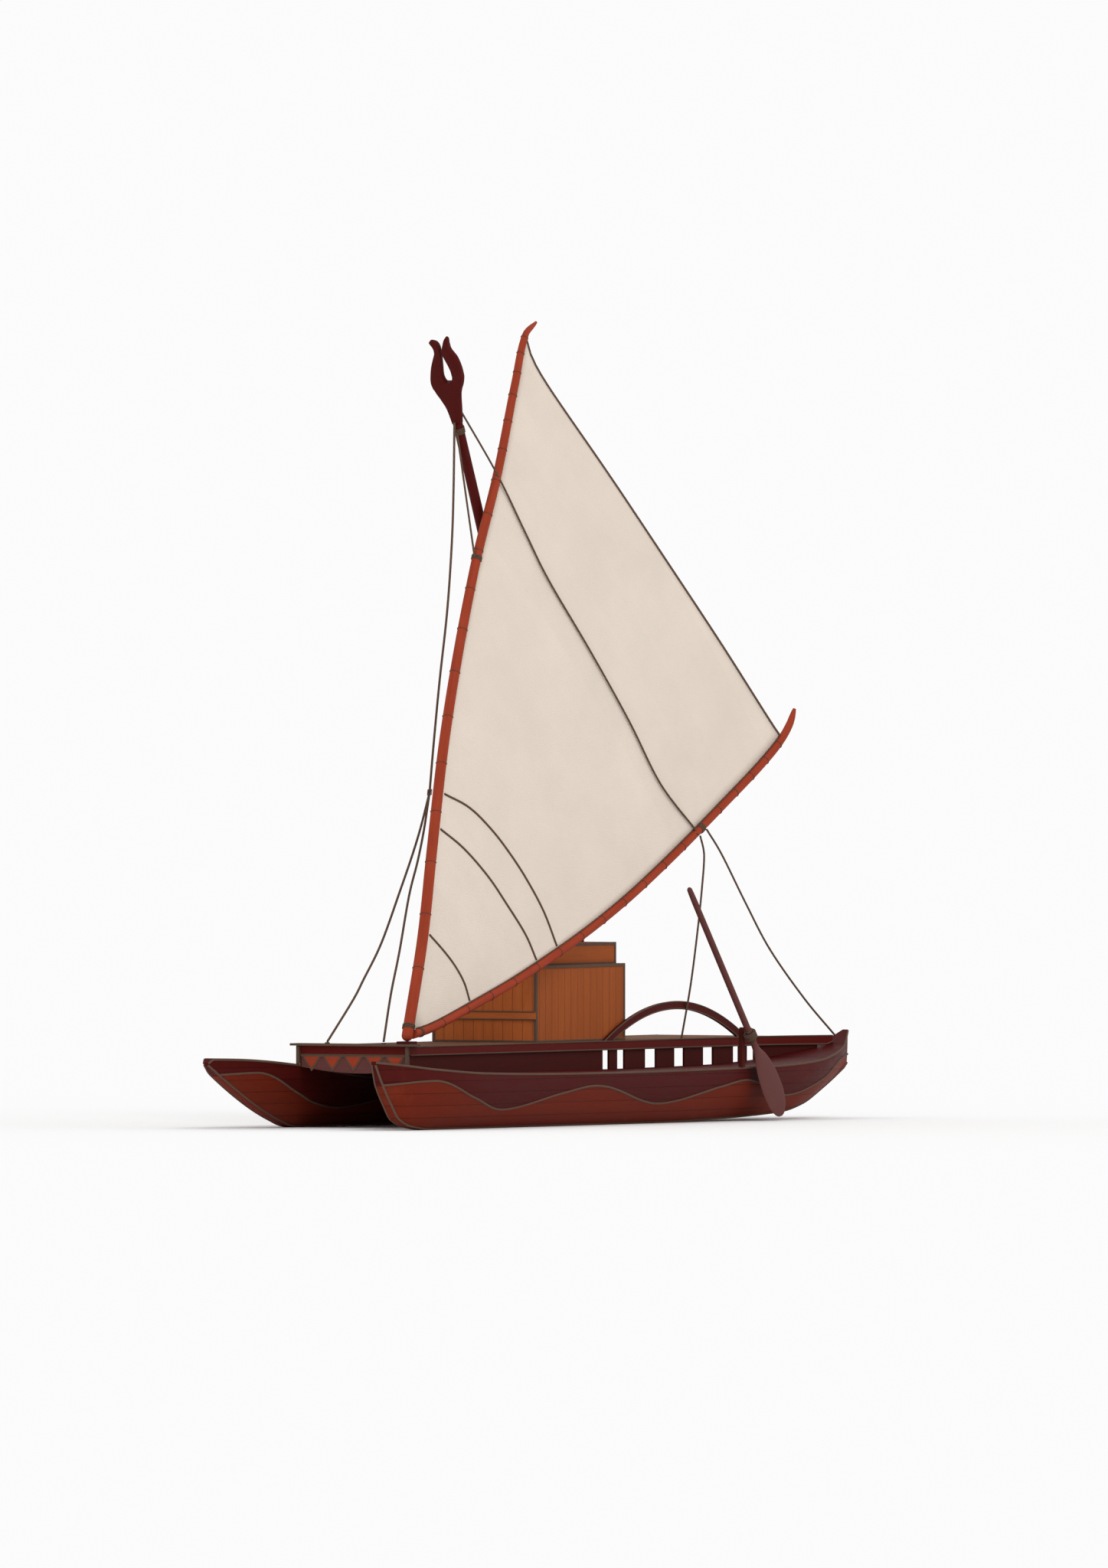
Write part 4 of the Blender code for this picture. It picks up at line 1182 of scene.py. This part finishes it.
@dataclass
class Rig:
    """Yard, boom and sail, which swing together about the tack."""

    tack: Vector = field(default_factory=lambda: mid(-7.19, -1.25, 1.9803))
    yard_curve: tuple[tuple[float, float, float], ...] = (
        (-7.19, -1.25, 1.9803), (-6.26, -1.10, 4.10), (-5.64, -0.954, 5.85), (-4.67, -0.722, 8.32),
        (-2.92, -0.43, 11.82), (-1.74, -0.30, 13.76), (-0.66, -0.12, 15.70), (0.0, 0.0, 16.74),
        (0.52, 0.05, 16.98),
    )
    yard_radii: Curve = ((1.98, 0.12), (8.3, 0.11), (15.0, 0.09), (16.6, 0.075), (16.85, 0.062),
                         (16.98, 0.03))
    boom_curve: Curve = (
        (-7.10, 2.00), (-6.50, 2.10), (-5.75, 2.29), (-4.68, 2.60), (-3.24, 3.03), (-1.81, 3.52),
        (-0.37, 4.055), (1.18, 4.715), (2.97, 5.60), (5.13, 6.765), (6.56, 7.57), (7.28, 8.05),
        (7.635, 8.40), (7.80, 8.69),
    )
    boom_radii: Curve = ((-7.10, 0.09), (3.0, 0.09), (6.8, 0.09), (7.55, 0.082), (7.72, 0.066),
                         (7.80, 0.035))
    boom_offset: float = 0.08
    splay: float = 0.05
    steps: int = 100
    yard_sides: int = 28
    yard_crowding: float = 1.6
    boom_sides: int = 24
    boom_crowding: float = 1.3
    ball_steps: int = 12
    sail_first: int = 1
    sail_last: int = 91
    boom_stretch: float = 1.018
    sail_across: int = 46
    sail_thick: float = 0.008
    laced_gap: float = 0.012
    belly: float = 0.34
    hollow: float = 0.25
    hollow_start: float = 0.03
    hollow_rows: float = 0.3  # share of the sail's length that the leech's hollow reaches into
    leech_curve: float = 0.28
    cloth_frames: int = 24
    seams: tuple[Curve, ...] = (  # pixels of the drawing along each seam
        ((580, 1037), (612.7, 1055), (641.8, 1084), (666, 1115.7), (687.8, 1149.6), (709.6, 1190.8),
         (726.6, 1235.6)),
        ((575, 1083), (605.4, 1108.4), (636.9, 1144.8), (661.2, 1181), (685.4, 1220), (700, 1253.8)),
        ((560.6, 1221), (578.8, 1241.7), (593.3, 1261), (605.4, 1283), (612.7, 1307)),
    )
    seam_radius: float = 0.024
    seam_spread: float = 0.009
    leech_rope: float = 0.028
    edge_rope: float = 0.018
    lacing_rope: float = 0.008
    lacing_every: int = 5
    binding_rope: float = 0.012
    flat_size: tuple[float, float] = (11.2, 16.6)
    flat_area: float = 92.0

    def __post_init__(self) -> None:
        """Work out both spars' middle lines."""
        low, high = self.yard_curve[0][2], self.yard_curve[-1][2]
        heights = [low + (high - low) * (1 - (1 - t) ** self.yard_crowding) for t in shares(self.steps)]
        xs = tuple((z, x) for x, y, z in self.yard_curve)
        ys = tuple((z, y) for x, y, z in self.yard_curve)
        self.yard = [mid(smooth(xs, z), smooth(ys, z), z) for z in heights]
        self.yard_thick = [smooth(self.yard_radii, z) for z in heights]
        start, end = self.boom_curve[0][0], self.boom_curve[-1][0]
        places = [start + (end - start) * (1 - (1 - t) ** self.boom_crowding) for t in shares(self.steps)]
        self.boom = [mid(x, self.tack.y - MID_Y - self.boom_offset - self.splay * (x - start),
                         smooth(self.boom_curve, x)) for x in places]
        self.boom_thick = [smooth(self.boom_radii, x) for x in places]

    def build(self) -> None:
        """Make the spars, the sail, its seams and its lacing."""
        self.build_yard()
        self.build_boom()
        sail = self.build_sail()
        self.build_seams(sail)
        self.build_lacing()
        dress_solids(DARK, 0.012, "tack_block")

    def build_yard(self) -> None:
        """Shape the yard from its ball foot to its hooked tip."""
        along = (self.yard[1] - self.yard[0]).normalized()
        rings = tube_rings(self.yard, self.yard_thick, self.yard_sides, AFT)
        ball = []
        for i in range(1, self.ball_steps + 1):
            angle = math.pi / 2 * i / (self.ball_steps + 1)
            centre = self.yard[0] - along * math.cos(angle) * self.yard_thick[0]
            ball.append([centre + (p - self.yard[0]) * math.sin(angle) for p in rings[0]])
        add_piece("yard_spar", Skin().loft(ball + rings), SPAR, "yard", body="rig")

    def build_boom(self) -> None:
        """Shape the boom, cut to butt against the yard."""
        along = (self.boom[1] - self.boom[0]).normalized()
        normal = across(along, (self.yard[1] - self.yard[0]).normalized())
        offset = (self.boom[0] - self.yard[0]).dot(normal)
        reach = (self.yard_thick[0] + SKIN_GAP - offset) / along.dot(normal)
        run = [self.boom[0] + along * reach,
               *[p for p in self.boom[1:] if (p - self.boom[0]).dot(along) > reach + 0.05]]
        rings = tube_rings(run, self.boom_thick[-len(run):], self.boom_sides, AFT)
        rings[0] = [p - along * ((p - run[0]).dot(normal) / along.dot(normal)) for p in rings[0]]
        add_piece("boom_spar", Skin().loft(rings), SPAR, "boom", body="rig")

    def edges(self, i: int) -> tuple[Vector, Vector]:
        """The sail's two edges at one step along the spars."""
        yard_along = (self.yard[i + 1] - self.yard[i - 1]).normalized()
        far = i * self.boom_stretch
        k = int(far)
        boom = self.boom[k].lerp(self.boom[k + 1], far - k)
        boom_along = (self.boom[k + 1] - self.boom[k - 1]).normalized()
        down = across(boom - self.yard[i], yard_along)
        up = across(self.yard[i] - boom, boom_along)
        return (self.yard[i] + down * (self.yard_thick[i] + self.laced_gap),
                boom + up * (self.boom_thick[k] + self.laced_gap))

    def flat_grid(self) -> list[Run]:
        """The sail's cloth before the wind fills it, row by row along the spars."""
        grid = []
        for i in range(self.sail_first, self.sail_last + 1, 2):
            top, bottom = self.edges(i)
            grid.append([top.lerp(bottom, t) for t in shares(self.sail_across)])
        span = len(grid) - 1
        for r, row in enumerate(grid):
            reach = max(0.0, (r / span - (1 - self.hollow_rows)) / self.hollow_rows) ** 2
            inward = across(self.yard[0] - row[0], (row[-1] - row[0]).normalized())
            for k, t in enumerate(shares(self.sail_across)):
                dip = self.hollow * (1 - t) * (1 - math.exp(-t / self.hollow_start))
                dip += self.leech_curve * abs(math.sin(math.pi * t)) ** 0.8
                row[k] = row[k] + inward * (dip * reach)
        return grid

    def build_sail(self) -> bpy.types.Object:
        """Cut the cloth, let the wind fill it, and give it its thickness."""
        grid = self.flat_grid()
        rows, columns = len(grid), len(grid[0])
        points = [point for row in grid for point in row]
        faces = [(a, a + 1, a + columns + 1, a + columns)
                 for i in range(rows - 1) for a in range(i * columns, (i + 1) * columns - 1)]
        corners = [self.cloth_place(points[n]) for quad in faces for n in quad]
        mesh = bpy.data.meshes.new("sail_cloth")
        mesh.from_pydata(points, [], faces)
        mesh.uv_layers.new(name="lengths").data.foreach_set("uv", np.array(corners, np.float32).ravel())
        sail = bpy.data.objects.new("sail_cloth", mesh)
        bpy.context.scene.collection.objects.link(sail)
        self.fill_sail(sail, rows, columns)
        mesh.shade_smooth()
        sheet = sail.modifiers.new("mat thickness", "SOLIDIFY")
        sheet.thickness = self.sail_thick
        sheet.offset = 0.0
        ride(sail, SAILCLOTH, "rig", ("sail",))
        return sail

    def cloth_place(self, point: Vector) -> tuple[float, float]:
        """Where a point lies on the flat cloth: along the leech and square to it, in metres."""
        leech = (self.boom[self.sail_last] - self.yard[self.sail_last]).normalized()
        out = across(self.boom[self.sail_last] - self.tack, leech)
        return (point - self.tack).dot(leech), (point - self.tack).dot(out)

    def fill_sail(self, sail: bpy.types.Object, rows: int, columns: int) -> None:
        """Belly the flat sail out to port, with its laced edges held."""
        rest = np.array([v.co for v in sail.data.vertices], float)
        places = np.array([(r, c) for r in shares(rows - 1) for c in shares(columns - 1)])
        fullness = np.sin(np.pi * places[:, 1]) * np.sin(0.62 * np.pi * places[:, 0]) ** 1.3
        moved = rest + np.outer(fullness * self.belly, (0.1, -1.0, 0.0))
        moved = self.blown(sail, rest, places, columns)
        for vertex, place in zip(sail.data.vertices, moved):
            vertex.co = place
        sail.data.update()

    def blown(self, sail: bpy.types.Object, rest: np.ndarray, places: np.ndarray,
              columns: int) -> np.ndarray:
        """Let simulated cloth hang from its laced edges in a steady push to port.

        Args:
            sail: the flat sail.
            rest: its points.
            places: each point's place along and across the sail, from 0 to 1.
            columns: points in each row.

        Returns:
            The points where the cloth came to rest, scaled to the belly's depth.
        """
        scene = bpy.context.scene
        held = sail.vertex_groups.new(name="laced edges")
        edge = [i for i in range(len(rest)) if i % columns in (0, columns - 1) or places[i, 0] == 0.0]
        held.add(edge, 1.0, "REPLACE")
        gravity = scene.gravity.copy()
        scene.gravity = (0.8, -9.0, -1.5)
        cloth = sail.modifiers.new("wind", "CLOTH")
        for setting, value in (("quality", 6), ("mass", 0.6), ("tension_stiffness", 40),
                               ("compression_stiffness", 20), ("shear_stiffness", 15),
                               ("bending_stiffness", 4), ("air_damping", 3),
                               ("vertex_group_mass", held.name)):
            setattr(cloth.settings, setting, value)
        cloth.point_cache.frame_start = 1
        cloth.point_cache.frame_end = self.cloth_frames
        for number in range(1, self.cloth_frames + 1):
            scene.frame_set(number)
        shown = sail.evaluated_get(bpy.context.evaluated_depsgraph_get())
        shift = np.array([v.co for v in shown.data.vertices], float) - rest
        sail.modifiers.remove(cloth)
        scene.frame_set(1)
        scene.gravity = gravity
        deepest = np.abs(shift[:, 1]).max()
        LOG.info("cloth came to rest %.2f m deep", deepest)
        return rest + shift * (self.belly / max(deepest, 1e-6))

    def on_sail(self, sail: bpy.types.Object, u: float, v: float, lift: float) -> Vector:
        """The point of the filled sail that shows at a pixel, lifted off the cloth to port."""
        tree = BVHTree.FromPolygons([vertex.co for vertex in sail.data.vertices],
                                    [tuple(face.vertices) for face in sail.data.polygons])
        start = DRAWING.plane_point(u, v) + DRAWING.back() * 40
        hit = tree.ray_cast(start, -DRAWING.back())[0]
        near = hit or tree.find_nearest(DRAWING.at(u, v, -1.3))[0]
        return near - STARBOARD * lift

    def build_seams(self, sail: bpy.types.Object) -> None:
        """Sew the curved seams near the tack and rope the sail's edges."""
        skin = Skin()
        for seam in self.seams:
            fine = flowing([Vector((u, v, 0.0)) for u, v in seam], 6)
            run = [self.on_sail(sail, p.x, p.y, 0.0) for p in fine]
            for side in (-1, 1):
                shifted = [p + STARBOARD * (self.seam_spread * side) for p in run]
                skin.tube(shifted, self.seam_radius, BEAD_SIDES)
        add_piece("sail_seams", skin, TRIM, body="rig")
        count = self.sail_across + 1
        points = [v.co.copy() for v in sail.data.vertices]
        leech, foot, head = points[-count:], points[count - 1::count], points[::count]
        edges = Skin().tube(leech, self.leech_rope, 10)
        edges.tube(foot, self.edge_rope, BEAD_SIDES).tube(head, self.edge_rope, BEAD_SIDES)
        add_piece("sail_bolt_rope", edges, STAY_ROPE, body="rig")

    def build_lacing(self) -> None:
        """Bind the sail to both spars with short lashings, and the boom to the yard."""
        skin = Skin()
        for i in range(self.sail_first + self.lacing_every, self.sail_last + 1, self.lacing_every):
            bind(skin, self.yard, self.yard_thick, i, self.lacing_rope, 1)
            bind(skin, self.boom, self.boom_thick, i, self.lacing_rope, 1)
        for run, radii, first, up, turns in ((self.yard, self.yard_thick, 0, 0.20, 4),
                                             (self.boom, self.boom_thick, 1, 0.30, 3)):
            along = (run[first + 2] - run[first]).normalized()
            skin.lashing(run[0] + along * up, along, radii[0], self.binding_rope, turns)
        add_piece("sail_lacing", skin, CORD_ROPE, body="rig")


@dataclass
class Rigging:
    """Stays, halyard, topping line and sheets."""

    mast: Mast
    rig: Rig
    thick: float = 0.025
    thin: float = 0.022
    binding_rope: float = 0.012
    sheet_binding: float = 0.013
    foot_y: float = 0.68
    grommet: float = 0.04
    grommet_rope: float = 0.014
    grommet_rise: float = 0.012
    forestay: Curve = (  # pixels of the drawing along each rope
        (593.5, 552), (592.3, 640), (590, 710), (584, 798), (574, 890), (566, 975), (561, 1035),
    )
    starboard_leg: Curve = (
        (561, 1035), (549.6, 1080), (538.4, 1117), (523, 1162), (498, 1232), (475, 1279), (460.6, 1307),
        (427.5, 1360.6),
    )
    port_leg: Curve = (
        (561, 1035), (553.8, 1083), (545.4, 1125), (534.2, 1170), (521.6, 1243), (510.4, 1299),
        (501, 1360.6),
    )
    halyard_bend: tuple[float, float] = (618, 723)
    topping_start: float = 0.28  # metres up the fork
    topping_out: float = 0.15  # metres to port of the fork's middle
    topping_clear: float = 0.03  # metres between the line and the yard
    topping_lift: float = 0.05  # metres off the sail
    topping_turn: tuple[float, float] = (647, 622)
    topping: Curve = (
        (684, 697), (714, 758), (768, 850), (819, 942), (860, 1024), (905, 1083),
    )
    deck_sheet: Curve = (
        (914.5, 1092), (918.7, 1109), (919.5, 1124), (917.2, 1155), (911.8, 1209), (902.2, 1285),
        (889.5, 1358.6),
    )
    stern_sheet: Curve = (
        (923, 1083.6), (942.8, 1116.5), (974, 1180), (1005.8, 1240.6), (1050.5, 1304.4), (1090.4, 1352.2),
    )
    sheet_x: float = 4.2

    def build(self) -> None:
        """Lead every rope."""
        self.build_stays()
        self.build_halyard()
        self.build_topping_line()
        self.build_sheets()

    def build_stays(self) -> None:
        """The forestay and the two legs of its bridle."""
        route = DRAWING.route(self.forestay, -0.05, 0.0)
        add_piece("forestay_rope", Skin().tube(flowing(route, 6), self.thick, 12, AFT), STAY_ROPE, "forestay")
        bridle, feet = Skin(), Skin()
        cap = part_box("front_cap")[1].z
        for pixels, y in ((self.starboard_leg, self.foot_y), (self.port_leg, -self.foot_y)):
            run = DRAWING.route(pixels, 0.0, y)
            bridle.tube(flowing(run, 6), self.thick, 12, AFT)
            centre = Vector((run[-1].x, run[-1].y, cap + self.grommet_rise))
            ring = [centre + Vector((math.cos(a), math.sin(a), 0.0)) * self.grommet
                    for a in np.linspace(0, 2 * math.pi, 19)]
            feet.tube(ring, self.grommet_rope, BEAD_SIDES)
        bridle.lashing(route[-1], Vector((0.15, 0.0, 1.0)), self.thick * 1.4, self.binding_rope, 5)
        add_piece("bridle_ropes", bridle, STAY_ROPE, "bridle")
        add_piece("stay_grommets", feet, CORD_ROPE)

    def build_halyard(self) -> None:
        """From the fore side of the mast head to the yard."""
        ahead = across(-AFT, self.mast.along())
        top = self.mast.point(self.mast.lashed) + ahead * self.mast.radius(self.mast.lashed)
        index = DRAWING.nearest(self.rig.yard, *self.halyard_bend)
        low = self.rig.yard[index] - AFT * self.rig.yard_thick[index] * 0.8
        add_rope_between("halyard", [top.lerp(low, t) for t in shares(14)], self.thin, ("canoe", "rig"))
        bend = bind(Skin(), self.rig.yard, self.rig.yard_thick, index, self.binding_rope, 4)
        add_piece("halyard_bend", bend, CORD_ROPE, body="rig")

    def build_topping_line(self) -> None:
        """From the mast head over the yard and down the sail's port side to the boom."""
        sail = bpy.data.objects["sail_cloth"]
        up = self.mast.along()
        top = self.mast.head + up * self.topping_start - across(STARBOARD, up) * self.topping_out
        over = [self.rig.on_sail(sail, u, v, self.topping_lift) for u, v in self.topping]
        index = DRAWING.nearest(self.rig.yard, *self.topping_turn)
        clear = self.rig.yard_thick[index] + self.topping_clear
        turn = self.rig.yard[index] + DRAWING.back() * clear
        boom_end = min(self.rig.boom, key=lambda p: (p - over[-1]).length)
        end = boom_end - STARBOARD * 0.10 + UP * 0.02
        add_rope_between("topping_line", flowing([top, turn, *over, end], 8), self.thin, ("canoe", "rig"))

    def build_sheets(self) -> None:
        """The deck sheet and the stern sheet, from the boom to the canoe."""
        for name, pixels, start_y, end_y in (("deck_sheet", self.deck_sheet, -1.90, -1.30),
                                             ("stern_sheet", self.stern_sheet, -1.93, -2.05)):
            run = flowing(DRAWING.route(pixels, start_y, end_y), 8)
            add_rope_between(name, run, self.thin, ("rig", "canoe"))
        index = min(range(len(self.rig.boom)), key=lambda i: abs(self.rig.boom[i].x - self.sheet_x))
        bend = bind(Skin(), self.rig.boom, self.rig.boom_thick, index, self.sheet_binding, 5)
        add_piece("sheet_bend", bend, CORD_ROPE, body="rig")


@dataclass
class SteeringOar:
    """The oar, its collar and the post that carries it."""

    pivot: Vector = field(default_factory=lambda: mid(4.209, -3.07, 1.83))
    lean: float = math.radians(39.5)
    shaft: Curve = (  # distance down the oar, half-width
        (-4.10, 0.030), (-4.06, 0.055), (-3.7, 0.065), (-0.4, 0.07), (0.25, 0.07), (0.45, 0.13),
        (0.70, 0.25), (1.00, 0.33), (1.35, 0.37), (1.70, 0.36), (1.95, 0.29), (2.10, 0.19), (2.18, 0.07),
    )
    thickness: Curve = (  # distance down the oar, half-thickness
        (-4.10, 0.030), (-4.06, 0.055), (-3.7, 0.065), (-0.4, 0.07), (0.25, 0.07), (0.45, 0.055),
        (0.70, 0.035), (1.00, 0.028), (1.35, 0.025), (1.95, 0.022), (2.10, 0.018), (2.18, 0.012),
    )
    spans: tuple[tuple[float, float, int], ...] = (  # where cross-sections start and end, and how many
        (-4.10, -3.95, 8), (-3.7, 0.2, 14), (0.25, 2.1, 34), (2.13, 2.16, 2), (2.18, 2.18, 1),
    )
    post_shape: Curve = ((-0.10, 1.0), (-0.03, 0.9), (0.0, 0.62))  # distance up from its top, share
    collar_layers: tuple[tuple[int, float], ...] = ((5, 0.088), (4, 0.118))  # turns, inner radius
    collar_rope: float = 0.017
    grommet_out: float = 0.135
    grommet_radius: float = 0.071
    grommet_rope: float = 0.010
    sides: int = 28
    post_sides: int = 16

    def build(self) -> None:
        """Shape the oar and bind its collar."""
        turn = Matrix.Translation(self.pivot) @ Matrix.Rotation(-self.lean, 4, "Y")
        rings = []
        for down in (place for span in self.spans for place in np.linspace(*span)):
            wide, thick = smooth(self.shaft, down), smooth(self.thickness, down)
            rings.append([turn @ Vector((wide * math.cos(a), thick * math.sin(a), -down))
                          for a in circle(self.sides)])
        add_piece("oar", Skin().loft(rings), OAR_WOOD, "steering_oar", body="oar")
        self.build_post()
        along = turn.to_3x3() @ UP
        collar, grommets = Skin(), Skin()
        for turns, radius in self.collar_layers:
            collar.lashing(self.pivot, along, radius, self.collar_rope, turns)
        add_piece("oar_collar_rope", collar, CORD_ROPE, "oar_collar", body="oar_cradle")
        for side in (-1, 1):
            where = self.pivot + along * (self.grommet_out * side)
            grommets.lashing(where, along, self.grommet_radius, self.grommet_rope, 2)
        add_piece("oar_grommets", grommets, CORD_ROPE, body="oar")

    def build_post(self) -> None:
        """Shape the post that the collar is lashed to."""
        low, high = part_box("oar_post")
        centre, half = (low + high) / 2, (high - low) / 2
        levels = [(low.z, 1.0), *[(high.z + up, share) for up, share in self.post_shape]]
        rings = [[Vector((centre.x + half.x * wide * share, centre.y + half.y * deep * share, z))
                  for wide, deep in rounded_square(self.post_sides, 0.75)] for z, share in levels]
        add_piece("oar_post_shaft", Skin().loft(rings), DARK_UPRIGHT, "oar_post")


@dataclass
class Studio:
    """A plain pale floor, soft light and the camera."""

    target: tuple[float, float, float] = (1.198, 0.0, 7.18)
    distance: float = 3000.0
    frame_height: float = 33.25
    floor_half: float = 6000.0
    floor_tone: float = 0.97
    sky: float = 0.86
    sun: float = 0.6
    sun_spread: float = math.radians(25)
    sun_turn: tuple[float, float, float] = (math.radians(38), math.radians(-22), math.radians(-12))

    def build(self) -> None:
        """Set the stage."""
        self.build_floor()
        self.build_light()
        self.build_camera()

    def build_floor(self) -> None:
        """Lay the floor."""
        mesh = bpy.data.meshes.new("floor")
        corners = ((-1, -1), (1, -1), (1, 1), (-1, 1))
        mesh.from_pydata([(x * self.floor_half, y * self.floor_half, 0) for x, y in corners], [],
                         [(0, 1, 2, 3)])
        floor = bpy.data.objects.new("floor", mesh)
        bpy.context.scene.collection.objects.link(floor)
        material = bpy.data.materials.new("pale floor")
        material.use_nodes = True
        shader = material.node_tree.nodes["Principled BSDF"].inputs
        shader["Base Color"].default_value = (self.floor_tone, self.floor_tone, self.floor_tone, 1.0)
        shader["Roughness"].default_value = 1.0
        shader["Specular IOR Level"].default_value = 0.0
        mesh.materials.append(material)

    def build_light(self) -> None:
        """White surroundings and one broad, soft sun."""
        scene = bpy.context.scene
        world = bpy.data.worlds.new("studio")
        world.use_nodes = True
        background = world.node_tree.nodes["Background"].inputs
        background["Color"].default_value = (1.0, 1.0, 1.0, 1.0)
        background["Strength"].default_value = self.sky
        scene.world = world
        light = bpy.data.lights.new("soft sun", "SUN")
        light.energy = self.sun
        light.angle = self.sun_spread
        lamp = bpy.data.objects.new("soft sun", light)
        lamp.rotation_euler = self.sun_turn
        scene.collection.objects.link(lamp)
        scene.view_settings.view_transform = "Standard"

    def build_camera(self) -> None:
        """Place the camera at the drawing's angle."""
        back = DRAWING.back()
        lens = bpy.data.cameras.new("camera")
        lens.type = "ORTHO"
        lens.ortho_scale = self.frame_height
        lens.clip_start = 1.0
        lens.clip_end = self.distance * 10
        camera = bpy.data.objects.new("camera", lens)
        camera.location = mid(*self.target) + back * self.distance
        camera.rotation_mode = "QUATERNION"
        camera.rotation_quaternion = (-back).to_track_quat("-Z", "Y")
        bpy.context.scene.collection.objects.link(camera)
        bpy.context.scene.camera = camera


def main() -> None:
    """Build the looks, piece by piece."""
    logging.basicConfig(level=logging.INFO, format="%(name)s: %(message)s")
    for make_effect in (make_timber_grain, make_weathering, make_board_seams, make_rope_lay,
                        make_plaiting):
        make_effect()
    Studio().build()
    mast, rig = Mast(), Rig()
    for part in (MAIN, OUTRIGGER, Platform(), Deckhouse(), HoopRail(), mast, rig, Rigging(mast, rig),
                 SteeringOar()):
        part.build()


if __name__ == "__main__":
    main()
